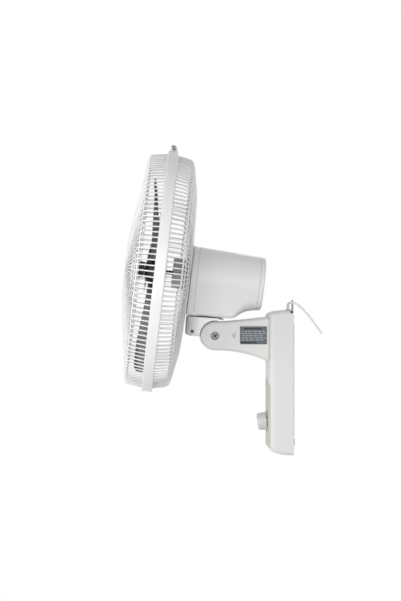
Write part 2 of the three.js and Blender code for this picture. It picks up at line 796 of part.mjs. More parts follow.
// The next solids stand in the swing frame: its origin is on the swing axis at the deck's top.
const linkBottom = 7;
const linkTop = linkBottom + linkThickness;
const crankThrow = anchorRadius * Math.sin(radians(swingLimit));
const crankX = crankThrow - anchorRadius;
const crankDisc = crankThrow + 2.6;
const crankBottom = linkTop + 1;
const crankThickness = 3;
const swingMotorBottom = crankBottom + crankThickness + 0.9;
const eyePlay = anchorPinRadius + openPivotPlay;

function swingPivot() {
  return barZ(pivotShaftRadius, 0, 0, -pivotDepth, swingNutRear + 1, 20);
}

function swingWasher() {
  return barZ(swingWasherRadius, 0, 0, seam, swingGap - seam, 40)
    .subtract(barZ(pivotShaftRadius + running, 0, 0, -1, 5, 20))
    .subtract(barZ(anchorPinRadius + seam, -anchorRadius, 0, -1, 5, 12));
}

function swingNut() {
  const outline = hexagon(pivotShaftRadius + 3.6);
  return slabZ(outline, pivotBossTop + seam, swingNutRear)
    .subtract(barZ(pivotShaftRadius + running, 0, 0, pivotBossTop - 1, swingNutRear + 1, 20));
}

function linkAnchor() {
  return barZ(anchorPinRadius, -anchorRadius, 0, -anchorDepth, linkTop + 0.6, 12);
}

function swingLink() {
  const eye = -anchorRadius - 0.8;
  const outline = [
    [eye - 2.2, 0], [-anchorRadius + 2.2, 0],
    [-anchorRadius + 3, crankBehind], [-anchorRadius - 3, crankBehind],
  ];
  return slabZ(outline, linkBottom, linkTop)
    .add(barZ(eyePlay + 2, eye, 0, linkBottom, linkTop, 24))
    .add(barZ(linkWidth / 2, -anchorRadius, crankBehind, linkBottom, linkTop, 20))
    .subtract(barZ(eyePlay, eye, 0, linkBottom - 1, linkTop + 1, 20))
    .subtract(barZ(crankPinRadius + running, -anchorRadius, crankBehind, linkBottom - 1, linkTop + 1, 16));
}

function swingCrank() {
  return barZ(crankDisc, crankX, crankBehind, crankBottom, crankBottom + crankThickness, 28)
    .add(barZ(crankPinRadius, -anchorRadius, crankBehind, linkBottom - 0.8, crankBottom + 1, 12))
    .add(barZ(3, crankX, crankBehind, crankBottom, swingMotorBottom - seam, 16));
}

function swingMotor() {
  const top = swingMotorBottom + swingMotorDepth;
  return barZ(swingMotorRadius, crankX, crankBehind, swingMotorBottom, top, 32);
}

// ---------------------------------------------------------------- motor housing, in the head's frame

const leanBetween = headLean - swingLean;
const coverRear = housingFront + coverDepth;
const capFront = housingEnd - capDepth;

function housingRadius(y) {
  if (y < coverRear) return coverRadius - coverTaper * (y - housingFront) / coverDepth;
  return coverRadius - coverTaper - (y - coverRear) * housingTaper;
}

// Depth of the pedestal's floor under the rotor's axis; it is square to the swing axis.
function pedestalDepth(y) {
  const slope = Math.tan(radians(leanBetween));
  const floor = (bandAbove - swingGap) / Math.cos(radians(leanBetween)) - slope * Math.min(y, pedestalRear);
  const end = housingRadius(housingEnd) + 1.5;
  const t = Math.max(0, (y - pedestalRear) / (housingEnd - pedestalRear));
  return end + (floor - end) / (1 + (t / 0.38) ** 2.4);
}

function housingRing(y, inset) {
  const radius = housingRadius(y);
  const depth = pedestalDepth(y);
  const blend = Math.min(1, Math.max(0, (depth - radius) / (pedestalDepth(pedestalRear) - radius)));
  const corner = pedestalCorner * blend + 0.9 * radius * (1 - blend);
  const across = (pedestalHalfWidth - pedestalCorner) * blend;
  const below = depth - corner;
  const away = Math.hypot(across, below);
  const tangent = Math.atan2(-below, across) + Math.acos(Math.min(1, (radius - corner) / away));
  const points = [];
  const arc = (x, z, r, from, to, steps) => {
    for (let i = 0; i <= steps; i += 1) {
      const angle = from + (to - from) * i / steps;
      points.push(new THREE.Vector3(x + (r - inset) * Math.cos(angle), y, z + (r - inset) * Math.sin(angle)));
    }
  };
  arc(across, -below, corner, -Math.PI / 2, tangent, 4);
  arc(0, 0, radius, tangent, Math.PI - tangent, 14);
  arc(-across, -below, corner, Math.PI - tangent, 1.5 * Math.PI, 4);
  return points;
}

function housingLoft(places, inset) {
  return loft(places.map((y) => housingRing(y, inset)));
}

function inHead(solid) {
  return solid.translate([0, bandAhead, -bandAbove]).rotate([leanBetween, 0, 0]);
}

function motorHousing() {
  const front = coverRear + seam;
  const rear = capFront - seam;
  const tail = [0, 0.12, 0.25, 0.41, 0.58].map((share) => pedestalRear + (housingEnd - pedestalRear) * share);
  let shell = housingLoft([front, (front + pedestalRear) / 2, ...tail, rear], 0);
  shell = shell.subtract(housingLoft([front - 1, tail[0] - 2, tail[2], tail[3], rear + 1], housingWall));
  const floorTop = swingGap + housingWall;
  let works = barZ(pivotBossRadius, 0, 0, swingGap, pivotBossTop, 24);
  for (const x of [-20.5, 20.5]) {
    works = works.add(barZ(3, crankX + x, crankBehind, floorTop - 1, swingMotorBottom - seam, 12));
  }
  shell = shell.add(inHead(works));
  shell = shell.subtract(inHead(barZ(pivotShaftRadius + running, 0, 0, -5, 10, 20)));
  return shell.subtract(inHead(anchorSlot()));
}

// The slot in the floor that the fixed pin passes through while the head swings round it.
function anchorSlot() {
  const half = anchorPinRadius + 0.9;
  const angles = Array.from({ length: 11 }, (_, i) => radians(180 + (swingLimit + 12) * (i / 5 - 1)));
  const at = (radius) => (angle) => [radius * Math.cos(angle), radius * Math.sin(angle)];
  const outline = [...angles.map(at(anchorRadius + half)), ...angles.reverse().map(at(anchorRadius - half))];
  return slabZ(outline, -5, swingGap + housingWall + 1.5);
}

function motorFrontCover() {
  let cover = housingLoft([housingFront, housingFront + 1], 1);
  cover = cover.add(housingLoft([housingFront + 0.8, coverRear], 0));
  cover = cover.subtract(housingLoft([housingFront + housingWall, coverRear + 1], housingWall));
  cover = cover.add(bar(lockNutRadius, lockNutRear + 2 * seam + centrePlateSheet, housingFront + 1, 32));
  return cover.subtract(bar(noseRadius + seam, 30, housingFront + 5, 28));
}

function rearCap() {
  const rounded = (depth, inset) => [0, 30, 60, 90].map((angle) => {
    const y = capFront + depth - capEdge * (1 - Math.sin(radians(angle)));
    return housingRing(y, inset + capEdge * (1 - Math.cos(radians(angle))));
  });
  let cap = loft([housingRing(capFront, 0), ...rounded(capDepth, 0)]);
  const mouth = housingRing(capFront - 1, housingWall);
  cap = cap.subtract(loft([mouth, ...rounded(capDepth - housingWall, housingWall)]));
  for (let i = -1; i <= 2; i += 1) {
    const half = ventHalf - 3 * Math.abs(i);
    const vent = block(-half, half, capFront + 2, housingEnd + 1, -ventWidth / 2, ventWidth / 2);
    cap = cap.subtract(vent.translate([0, 0, ventPitch * i]));
  }
  const boss = bar(capBossRadius, capFront + 2, housingEnd - 0.5, 16)
    .subtract(bar(clearHole, capFront, housingEnd + 1, 12));
  const recess = bar(capBossRadius - 1.6, housingEnd - capScrewRecess, housingEnd + 1, 16);
  return cap.subtract(bar(clearHole, capFront, housingEnd + 1, 12).translate([0, 0, capScrewHeight]))
    .add(boss.translate([0, 0, capScrewHeight]))
    .subtract(recess.translate([0, 0, capScrewHeight]));
}

function capScrew() {
  const seat = housingEnd - capScrewRecess + seam;
  return screw(3.8, 2.4, 1.9, 49, 10).rotate([0, 0, 180]).translate([0, seat, capScrewHeight]);
}

// ---------------------------------------------------------------- motor

const statorRear = statorFront + statorLength;
const frontDisc = housingFront + housingWall + 0.5;
const rearDisc = statorRear + seam + windingDepth + 3.2;
const pocket = bearingRadius + seam;

function frontBracket() {
  const back = frontDisc + bracketDisc;
  return lathe([
    [shaftRadius + 1, noseFront], [noseRadius, noseFront],
    [noseRadius, frontDisc], [bracketRadius, frontDisc],
    [bracketRadius, statorFront + 8], [bracketRadius - bracketWall, statorFront + 8],
    [bracketRadius - bracketWall, back], [pocket, back],
    [pocket, back - bearingLength - seam], [shaftRadius + 1, back - bearingLength - seam],
  ], 20);
}

function rearBracket() {
  const back = rearDisc + bracketDisc;
  const mouth = statorRear - 8;
  const bracket = lathe([
    [pocket, rearDisc], [bracketRadius - bracketWall, rearDisc], [bracketRadius - bracketWall, mouth],
    [bracketRadius, mouth], [bracketRadius, back], [pocket + 3, back],
    [pocket + 3, rearDisc + bearingLength + 2.5], [shaftRadius + 1, rearDisc + bearingLength + 2.5],
    [shaftRadius + 1, rearDisc + bearingLength + seam], [pocket, rearDisc + bearingLength + seam],
  ], 20);
  return bracket.subtract(bar(2.2, rearDisc - 5, back + 2, 12).translate([0, 0, capScrewHeight]));
}

function bearing(y) {
  const [bore, end] = [shaftRadius + running, y + bearingLength];
  return lathe([[bore, y], [bearingRadius, y], [bearingRadius, end], [bore, end]], 16);
}

function statorCore() {
  const teeth = Array.from({ length: statorTeeth * 4 }, (_, i) => {
    const angle = radians(360 / statorTeeth * (Math.floor(i / 4) + [0.1, 0.4, 0.6, 0.9][i % 4]));
    const radius = [statorBore, statorBore, statorSlotRadius, statorSlotRadius][i % 4];
    return [radius * Math.cos(angle), radius * Math.sin(angle)];
  });
  const core = bar(statorRadius, statorFront, statorRear, 20);
  return core.subtract(slabY(teeth, statorFront - 1, statorRear + 1));
}

function winding(y) {
  const [low, high] = [statorBore + 3, statorRadius - 2.5];
  const end = y + windingDepth;
  return lathe([
    [low + 2, y], [high - 2, y], [high, y + 2], [high, end - 2],
    [high - 2, end], [low + 2, end], [low, end - 2], [low, y + 2],
  ], 16);
}

function rotorCore() {
  const radius = statorBore - rotorGap;
  const [a, b] = [statorFront - 1, statorRear + 1];
  return lathe([[shaftRadius + seam, a], [radius, a], [radius, b], [shaftRadius + seam, b]], 20);
}

function motorShaft() {
  const hole = barX(drivePinRadius + seam, hubRear - 1.6, 0, -10, 10, 12);
  return bar(shaftRadius, -shaftFront, shaftRear, 24).subtract(hole);
}

function drivePin() {
  return barX(drivePinRadius, hubRear - 1.6, 0, -drivePinLength / 2, drivePinLength / 2, 12);
}

function lockNut() {
  let nut = lathe([
    [noseRadius + seam, lockNutFront], [lockNutRadius - 3, lockNutFront], [lockNutRadius, lockNutFront + 4],
    [lockNutRadius, lockNutRear], [noseRadius + seam, lockNutRear],
  ], 28);
  for (let i = 0; i < 8; i += 1) {
    const grip = bar(1.8, lockNutFront - 1, lockNutRear + 1, 8).translate([lockNutRadius + 0.9, 0, 0]);
    nut = nut.subtract(grip.rotate([0, 45 * i, 0]));
  }
  return nut;
}

function centrePlate() {
  const [front, rear] = [lockNutRear + seam, rearHubBehind - wire / 2 - seam];
  const outer = rearHubRadius + 2;
  return lathe([
    [noseRadius + seam, front], [32, front],
    [outer - 6, rear - centrePlateSheet], [outer, rear - centrePlateSheet],
    [outer, rear], [outer - 6.5, rear],
    [31.4, front + centrePlateSheet], [noseRadius + seam, front + centrePlateSheet],
  ], 28);
}

// ---------------------------------------------------------------- wire cage

// A dished grille as one lattice: wires run along the stations, and rings lie at those marked so.
// A station is [radius, y, isRing]; every wire and ring is a square bar.
function grille(stations) {
  const half = wire / 2;
  const positions = [];
  const triangles = [];
  const face = (a, b, c, d) => triangles.push(a, b, c, a, c, d);
  const corner = (angle, side, radius, y) => {
    const [cos, sin] = [Math.cos(angle), Math.sin(angle)];
    positions.push(radius * cos - side * sin, y, radius * sin + side * cos);
    return positions.length / 3 - 1;
  };
  const tangents = stations.map((_, i) => {
    const before = stations[Math.max(i - 1, 0)];
    const after = stations[Math.min(i + 1, stations.length - 1)];
    const length = Math.hypot(after[0] - before[0], after[1] - before[1]);
    return [(after[0] - before[0]) / length, (after[1] - before[1]) / length];
  });
  // For each wire and station: slices before and after the ring, each with left and right, top and bottom.
  const slices = [];
  for (let w = 0; w < wireCount; w += 1) {
    const angle = 2 * Math.PI * w / wireCount;
    slices.push(stations.map(([radius, y, isRing], i) => {
      const [tr, ty] = tangents[i];
      const along = isRing ? [-half, half] : [0];
      return along.map((a) => [-half, half].map((side) => [half, -half].map((n) => (
        corner(angle, side, radius + a * tr - n * ty, y + a * ty + n * tr)
      ))));
    }));
  }
  for (let w = 0; w < wireCount; w += 1) {
    const mine = slices[w];
    const next = slices[(w + 1) % wireCount];
    stations.forEach(([, , isRing], i) => {
      if (i + 1 < stations.length) {
        const from = mine[i][mine[i].length - 1];
        const to = mine[i + 1][0];
        face(from[0][0], to[0][0], to[1][0], from[1][0]);
        face(from[1][1], to[1][1], to[0][1], from[0][1]);
        face(from[0][1], to[0][1], to[0][0], from[0][0]);
        face(from[1][0], to[1][0], to[1][1], from[1][1]);
      }
      if (!isRing) return;
      const [front, back] = mine[i];
      const [nextFront, nextBack] = next[i];
      face(front[0][0], back[0][0], back[1][0], front[1][0]);
      face(front[1][1], back[1][1], back[0][1], front[0][1]);
      face(front[1][0], back[1][0], nextBack[0][0], nextFront[0][0]);
      face(nextFront[0][1], nextBack[0][1], back[1][1], front[1][1]);
      face(front[1][1], front[1][0], nextFront[0][0], nextFront[0][1]);
      face(nextBack[0][1], nextBack[0][0], back[1][0], back[1][1]);
      if (i === 0) face(front[0][1], front[0][0], front[1][0], front[1][1]);
      if (i === stations.length - 1) face(back[1][1], back[1][0], back[0][0], back[0][1]);
    });
  }
  const geometry = new THREE.BufferGeometry();
  geometry.setAttribute('position', new THREE.Float32BufferAttribute(positions, 3));
  geometry.setIndex(triangles);
  return toSolid(geometry);
}

function frontGrille() {
  return grille([
    [rimRadius, -rimOffset, true],
    [sideRadius, -rimOffset - 5, false],
    [sideRadius - 3.8, -frontCorner + 4.4, false],
    [cornerRadius, -frontCorner, false],
    [frontRingRadius, -frontRingAhead, true],
    [hubRingRadius, -hubRingAhead, true],
  ]);
}

function rearGrille() {
  return grille([
    [rimRadius, rimOffset, true],
    [sideRadius - 1, rimOffset + 5.2, false],
    [sideRadius - 5.4, rearCorner - 5.1, false],
    [cornerRadius - 5.3, rearCorner, false],
    [rearRingRadius, rearRingBehind, true],
    [rearHubRadius, rearHubBehind, true],
  ]);
}

const ringEdge = ringWidth / 2;
const clampHeight = ringRadius + clampScrewHeight;

function guardRing() {
  const lip = ringRadius - ringLip;
  const inner = ringRadius - ringSheet;
  const edge = ringEdge - ringSheet * 0.8;
  let ring = lathe([
    [lip, -ringEdge], [ringRadius - 1.2, -ringEdge],
    [ringRadius, -ringEdge + 1.2], [ringRadius, ringEdge - 1.2],
    [ringRadius - 1.2, ringEdge], [lip, ringEdge], [lip, edge], [inner, edge], [inner, -edge], [lip, -edge],
  ], 40, Math.PI / 40);
  const reach = clampGap / 2 + clampEar;
  const ear = barX(5.5, 0, clampHeight, -reach, reach, 20)
    .add(slabX(
      [[-8.5, inner + 0.6], [8.5, inner + 0.6], [5.5, clampHeight], [-5.5, clampHeight]], -reach, reach));
  ring = ring.add(ear);
  ring = ring.subtract(block(-clampGap / 2, clampGap / 2, -20, 20, lip - 5, clampHeight + 10));
  return ring.subtract(barX(clampScrewRadius + running, 0, clampHeight, -reach - 5, reach + 5, 12));
}

function clampScrew() {
  const reach = clampGap / 2 + clampEar + seam;
  const made = screw(3.8, 2.6, clampScrewRadius, 2 * reach + 5, 12);
  return made.rotate([0, 0, 90]).translate([reach, 0, clampHeight]);
}

function clampNut() {
  const reach = clampGap / 2 + clampEar + seam;
  return slabX(hexagon(3.9), -reach - 3.2, -reach)
    .subtract(barX(clampScrewRadius + running, 0, 0, -20, 0, 12))
    .translate([0, 0, clampHeight]);
}

function badge() {
  const back = -hubRingAhead + wire / 2 + seam + 0.1;
  const front = -hubRingAhead - wire / 2 - 0.8;
  return lathe([
    [0, front - 0.6], [badgeRadius - 12, front - 0.5], [badgeRadius - 1.6, front], [badgeRadius, front + 1.4],
    [badgeRadius, back], [badgeRadius + 3.4, back], [badgeRadius + 3.4, back + badgeFlange],
    [badgeRadius - badgeThickness, back + badgeFlange],
    [badgeRadius - badgeThickness, front + 2.2], [0, front + 2.2],
  ], 32);
}

// ---------------------------------------------------------------- blade

// Axial place of the blade's middle surface: forward at its trailing edge, back at its leading edge.
function bladeAxial(radius, s) {
  const out = (radius - hubRadius) / (bladeTip - hubRadius);
  const front = hubFront - 3 + (bladeFront - hubFront + 3) * out;
  const rear = bladeRear * (1 - 0.25 * (1 - out));
  const camber = 5 * Math.sin(Math.PI * s);
  return rear - (front + rear) * s + camber * (1 - 0.4 * out) * -0.6;
}

function bladeSweep(radius) {
  const out = (radius - hubRadius) / (bladeTip - hubRadius);
  const tipRound = out > 0.82 ? Math.sqrt(Math.max(0, 1 - ((out - 0.82) / 0.185) ** 2)) : 1;
  const widening = 0.74 + 0.26 * Math.sin(Math.PI * Math.min(out / 0.9, 1) / 2);
  return radians(bladeSpan) * widening * (0.35 + 0.65 * tipRound);
}

function blade(turn) {
  const radii = [hubRadius - 2, ...bladeStations.map((share) => hubRadius + (bladeTip - hubRadius) * share)];
  const across = 6;
  const half = bladeThickness / 2;
  const rings = radii.map((radius) => {
    const sweep = bladeSweep(Math.max(radius, hubRadius));
    const at = (s, side) => {
      const angle = turn + sweep * (s - 0.5) + radians(14) * (radius / bladeTip) ** 2;
      const y = bladeAxial(Math.max(radius, hubRadius), s) + side * half * (s === 0 || s === 1 ? 0.5 : 1);
      return new THREE.Vector3(radius * Math.cos(angle), y, radius * Math.sin(angle));
    };
    const steps = Array.from({ length: across + 1 }, (_, i) => i / across);
    return [...steps.map((s) => at(s, 1)), ...steps.reverse().map((s) => at(s, -1))];
  });
  return loft(rings);
}

function fanBlade() {
  let body = lathe([
    [0, -hubFront - hubConeLength], [hubNose, -hubFront - hubConeLength], [hubRadius - 1, -hubFront],
    [hubRadius, -hubFront + 3], [hubRadius, hubRear], [0, hubRear],
  ], 36);
  for (let i = 0; i < bladeCount; i += 1) {
    body = body.add(blade(radians(bladePhase + 360 / bladeCount * i)));
  }
  body = body.subtract(bar(shaftRadius + running, -50, 50, 24));
  const half = drivePinLength / 2 + seam;
  const width = drivePinRadius + 0.4;
  return body.subtract(block(-half, half, hubRear - 3.6, hubRear + 5, -width, width));
}

function spinnerNut() {
  const back = -hubFront - hubConeLength - seam;
  const front = back - spinnerLength;
  let nut = lathe([
    [0, front], [spinnerRadius - 2.5, front], [spinnerRadius, front + 2.5], [spinnerRadius, back],
    [shaftRadius + running, back], [shaftRadius + running, -shaftFront - seam], [0, -shaftFront - seam],
  ], 20);
  for (let i = 0; i < 6; i += 1) {
    const grip = bar(1.2, front - 1, back + 1, 8).translate([spinnerRadius + 0.5, 0, 0]);
    nut = nut.subtract(grip.rotate([0, 60 * i, 0]));
  }
  return nut;
}

// ---------------------------------------------------------------- assembly

const fan = new THREE.Group();
const neck = new THREE.Group();
neck.position.set(0, -pivotReach, pivotHeight);
neck.rotation.x = -radians(swingLean);
fan.add(neck);

const swing = new THREE.Group();
swing.position.set(0, -swingForward, neckTop);
neck.add(swing);

const head = new THREE.Group();
head.position.set(0, -bandAhead, bandAbove);
head.rotation.x = -radians(leanBetween);
swing.add(head);

add(fan, 'mounting_plate', mountingPlate(), steel);
add(fan, 'column_shell', columnShell(), white);
add(fan, 'back_cover', backCover(), offWhite);
add(fan, 'control_panel', controlPanel(), greige);
add(fan, 'speed_knob', speedKnob(), offWhite);
add(fan, 'switch_spindle', switchSpindle(), steel);
add(fan, 'rotary_switch', rotarySwitch(), phenolic);
add(fan, 'run_capacitor', runCapacitor(), capacitorGrey);
add(fan, 'terminal_block', terminalBlock(), offWhite);
add(fan, 'cable_bush', cableBush(), rubber);
add(fan, 'power_cord', powerCord(), vinyl);
add(fan, 'wall_pad_left', wallPad(-innerHalfWidth + padSize / 2), rubber);
add(fan, 'wall_pad_right', wallPad(innerHalfWidth - padSize / 2), rubber);
bossPlaces.forEach(([x, z], i) => {
  const at = lidRear + 0.1;
  const made = screw(3.2, 1.6, 1.5, 12, 8, false).rotate([0, 0, 180]);
  add(fan, `cover_screw_${i + 1}`, made.translate([x, at, z]), steel);
});
platePosts.forEach(([x, z], i) => {
  const at = -plateThickness + 0.1;
  const made = screw(4.2, 1.8, 1.5, 9, 8, false).rotate([0, 0, 180]);
  add(fan, `plate_screw_${i + 1}`, made.translate([x, at, z]), steel);
});
armScrewPlaces().forEach(([x, z], i) => {
  const at = columnFront + columnWall + seam;
  const made = screw(4, 2.6, 1.5, 13.5, 8, false).rotate([0, 0, 180]);
  add(fan, `arm_screw_${i + 1}`, made.translate([x, at, z]), steel);
});
add(fan, 'arm', arm(), offWhite);
add(fan, 'tilt_bolt', tiltBolt(), paleGrey);
add(fan, 'tilt_nut', tiltNut(), steel);
add(fan, 'tilt_washer_left', tiltWasher(-1), steel);
add(fan, 'tilt_washer_right', tiltWasher(1), steel);
add(fan, 'rating_plate', ratingPlaque(), foil);

add(neck, 'neck_bracket', neckBracket(), white);
add(neck, 'neck_screw', neckScrew(), steel);
add(swing, 'swing_pivot', swingPivot(), steel);
add(swing, 'swing_washer', swingWasher(), black);
add(swing, 'swing_nut', swingNut(), zinc);
add(swing, 'link_anchor', linkAnchor(), steel);
add(swing, 'swing_link', swingLink(), steel);
add(swing, 'swing_crank', swingCrank(), bronze);
add(swing, 'swing_motor', swingMotor(), zinc);

add(head, 'motor_housing', motorHousing(), white);
add(head, 'motor_front_cover', motorFrontCover(), white);
add(head, 'rear_cap', rearCap(), white);
add(head, 'cap_screw', capScrew(), steel);
add(head, 'front_bracket', frontBracket(), castAlloy);
add(head, 'rear_bracket', rearBracket(), castAlloy);
add(head, 'bearing_front', bearing(frontDisc + bracketDisc - bearingLength), bronze);
add(head, 'bearing_rear', bearing(rearDisc + seam), bronze);
add(head, 'stator_core', statorCore(), laminations);
add(head, 'winding_front', winding(statorFront - windingDepth - seam), copper);
add(head, 'winding_rear', winding(statorRear + seam), copper);
add(head, 'rotor_core', rotorCore(), laminations);
add(head, 'motor_shaft', motorShaft(), steel);
add(head, 'drive_pin', drivePin(), steel);
add(head, 'lock_nut', lockNut(), paleGrey);
add(head, 'centre_plate', centrePlate(), enamel);
add(head, 'front_grille', frontGrille(), enamel);
add(head, 'rear_grille', rearGrille(), enamel);
add(head, 'guard_ring', guardRing(), white);
add(head, 'clamp_screw', clampScrew(), zinc);
add(head, 'clamp_nut', clampNut(), zinc);
add(head, 'grille_badge', badge(), offWhite);
add(head, 'fan_blade', fanBlade(), navy);
add(head, 'spinner_nut', spinnerNut(), black);

export default fan;
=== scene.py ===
# %% [markdown]
# # A wall mounted fan
#
# This lesson dresses one fan for the wall: a column with a speed knob, a forked arm that tilts,
# a neck, and a swinging head with a motor, a rotor and a wire cage. The solids and their joints
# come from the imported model. Here each visible piece gets its fine surface and its finish.
#
# Every size of the fan is in millimetres in the frame of the body that it belongs to, and one
# helper turns it into metres in the frame of the whole fan. The camera, the lamps and the floor
# are placed in metres.

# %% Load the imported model
import math

import bmesh
import bpy
from mathutils import Matrix, Vector


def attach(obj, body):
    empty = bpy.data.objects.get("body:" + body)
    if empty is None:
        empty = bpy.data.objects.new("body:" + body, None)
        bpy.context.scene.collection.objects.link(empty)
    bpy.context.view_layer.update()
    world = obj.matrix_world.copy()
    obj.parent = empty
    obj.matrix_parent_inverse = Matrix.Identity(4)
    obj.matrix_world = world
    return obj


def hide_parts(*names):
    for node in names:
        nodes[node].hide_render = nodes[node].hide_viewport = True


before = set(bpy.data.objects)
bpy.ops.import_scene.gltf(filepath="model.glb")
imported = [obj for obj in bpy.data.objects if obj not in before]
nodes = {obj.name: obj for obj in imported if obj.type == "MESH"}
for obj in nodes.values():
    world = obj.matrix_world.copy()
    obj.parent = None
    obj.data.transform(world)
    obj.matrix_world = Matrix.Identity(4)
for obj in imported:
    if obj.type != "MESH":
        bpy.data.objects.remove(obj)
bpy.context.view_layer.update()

scene = bpy.context.scene

# %% [markdown]
# ## Frames
#
# The neck leans back on the tilt bolt, the head stands on the neck, and the knob leans out of the
# column. A piece that is drawn in its own upright frame stays easy to read, so each frame is a
# matrix, and the last step of making a mesh is to multiply by it.

# %% Frames of the bodies
MM = 0.001


def frame_at(parent, offset, lean):
    """A frame moved by an offset in millimetres and then leaned about X by some degrees."""
    turn = Matrix.Rotation(math.radians(lean), 4, "X")
    return parent @ Matrix.Translation(Vector(offset) * MM) @ turn


PIVOT_REACH, PIVOT_HEIGHT = 145.7, 85.6
SWING_AHEAD, DECK_TOP = 19.9, 32.4
AXIS_RISE, HEAD_LEAN, KNOB_HEIGHT = 78.6, 2.3, -72
PIVOT = (0, -PIVOT_REACH, PIVOT_HEIGHT)
FAN = Matrix.Identity(4)
NECK = frame_at(FAN, PIVOT, -4.2)
SWING = frame_at(NECK, (0, -SWING_AHEAD, DECK_TOP), 0)
HEAD = frame_at(SWING, (0, -89, AXIS_RISE), -HEAD_LEAN)
KNOB = frame_at(FAN, (0, -47.5, KNOB_HEIGHT), 5.5)
print("middle of the guard ring:", [round(v, 4) for v in HEAD.translation])

# %% [markdown]
# ## The camera
#
# The fan was seen square from its side, from about three metres away. A long lens at that
# distance gives the same slight growth of the near half of the cage. The focus is set for that
# distance alone, so a view from further off comes out softer.

# %% Camera
CAMERA_AT, CAMERA_AIM = Vector((3.0, -0.2519, 0.1515)), Vector((0, -0.1714, 0.1506))
camera_data = bpy.data.cameras.new("side_camera")
camera_data.sensor_width = 36
camera_data.lens = 97.1
camera_data.dof.use_dof = True
camera_data.dof.focus_distance = 2.9
camera_data.dof.aperture_fstop = 2.8
camera = bpy.data.objects.new("side_camera", camera_data)
camera.location = CAMERA_AT
sight = CAMERA_AIM - CAMERA_AT
camera.rotation_euler = sight.to_track_quat("-Z", "Y").to_euler()
scene.collection.objects.link(camera)
scene.camera = camera
scene.view_settings.view_transform = "Standard"
print("camera lens", camera_data.lens, "mm, distance", round(sight.length, 3), "m")

# %% [markdown]
# ## Making meshes
#
# Nearly every piece here is turned, lofted or swept. Three small makers cover them, all of which
# end in the same place: join doubled points, turn the faces outwards, and keep only those edges
# sharp that turn by more than a crease angle. Rounding the corners of the outline first gives
# every edge a small radius that catches the light, as on a moulding.

# %% Mesh makers
CREASE = 32.0


def new_piece(name, points, faces, place, crease):
    """A mesh object from points in millimetres in the frame `place`."""
    data = bpy.data.meshes.new(name)
    data.from_pydata([place @ (Vector(p) * MM) for p in points], [], faces)
    shape = bmesh.new()
    shape.from_mesh(data)
    bmesh.ops.remove_doubles(shape, verts=shape.verts, dist=2e-6)
    bmesh.ops.recalc_face_normals(shape, faces=shape.faces)
    shape.to_mesh(data)
    shape.free()
    data.shade_smooth()
    data.set_sharp_from_angle(angle=math.radians(crease))
    piece = bpy.data.objects.new(name, data)
    scene.collection.objects.link(piece)
    return piece


def rounded(corners, radius, steps=4, closed=True):
    """A line of points with each corner turned into a short curve."""
    line = []
    count = len(corners)
    for i, corner in enumerate(corners):
        here = Vector(corner)
        if not closed and i in (0, count - 1):
            line.append(tuple(here))
            continue
        before = Vector(corners[i - 1]) - here
        after = Vector(corners[(i + 1) % count]) - here
        start = here + before.normalized() * min(radius, before.length * 0.49)
        end = here + after.normalized() * min(radius, after.length * 0.49)
        for k in range(steps + 1):
            t = k / steps
            line.append(tuple(start * (1 - t) ** 2 + here * 2 * t * (1 - t) + end * t * t))
    return line


def arc(radius, steps, sweep=2 * math.pi, centre=(0, 0)):
    """Points round a centre, one a step: a whole circle, or an arc with its end point."""
    turns = [sweep * k / steps for k in range(steps + (sweep < 2 * math.pi))]
    return [(centre[0] + radius * math.cos(t), centre[1] + radius * math.sin(t)) for t in turns]


def skin(first, rows, size, closed, spans=None):
    """Faces between neighbouring rows of points, the first of which has the number `first`."""
    faces = []
    for i in range(rows if closed else rows - 1):
        here, there = first + i * size, first + (i + 1) % rows * size
        for j in range(spans or size):
            k = (j + 1) % size
            faces.append((here + j, here + k, there + k, there + j))
    return faces


def turned(name, profile, place, steps=96):
    """A body of revolution round Y; the profile is (radius, y), open if it starts on the axis."""
    size = len(profile)
    spans = size - 1 if abs(profile[0][0]) < 1e-6 else size
    points = [(r * u, y, r * v) for u, v in arc(1, steps) for r, y in profile]
    return new_piece(name, points, skin(0, steps, size, True, spans), place, CREASE)


def lofted(name, rings, place, crease=CREASE, closed=False):
    """A skin through rings of equal point counts, capped at both ends or closed on itself."""
    size = len(rings[0])
    points = [p for ring in rings for p in ring]
    faces = skin(0, len(rings), size, closed)
    if not closed:
        last = (len(rings) - 1) * size
        faces += [tuple(reversed(range(size))), tuple(range(last, last + size))]
    return new_piece(name, points, faces, place, crease)


def prism(name, outline, low, high, axis, place, edge):
    """An outline pushed straight along an axis, with its two rims eased by `edge`."""
    middle = sum((Vector(p) for p in outline), Vector((0, 0))) / len(outline)

    def ring(at, inset):
        line = []
        for corner in outline:
            arm = Vector(corner) - middle
            u, v = middle + arm * max(0, 1 - inset / max(arm.length, 1e-6))
            line.append({"X": (at, u, v), "Y": (u, at, v), "Z": (u, v, at)}[axis])
        return line

    rings = [ring(low, edge), ring(low + 0.3 * edge, 0.3 * edge), ring(low + edge, 0)]
    rings += [ring(high - edge, 0), ring(high - 0.3 * edge, 0.3 * edge), ring(high, edge)]
    return lofted(name, rings, place)


def rod(name, radius, centre, low, high, axis, place, steps, edge):
    """A straight round bar along an axis, round a centre given in the other two directions."""
    return prism(name, arc(radius, steps, centre=centre), low, high, axis, place, edge)


def swept(name, path, section, place=FAN, side=(0, 0, 1)):
    """A section of (u, v) points carried along a path, without twisting on the way."""
    line = [Vector(p) for p in path]
    normal = Vector(side)
    rings = []
    for i, here in enumerate(line):
        along = (line[min(i + 1, len(line) - 1)] - line[max(i - 1, 0)]).normalized()
        normal = (normal - along * normal.dot(along)).normalized()
        across = along.cross(normal)
        rings.append([tuple(here + across * u + normal * v) for u, v in section])
    return lofted(name, rings, place)


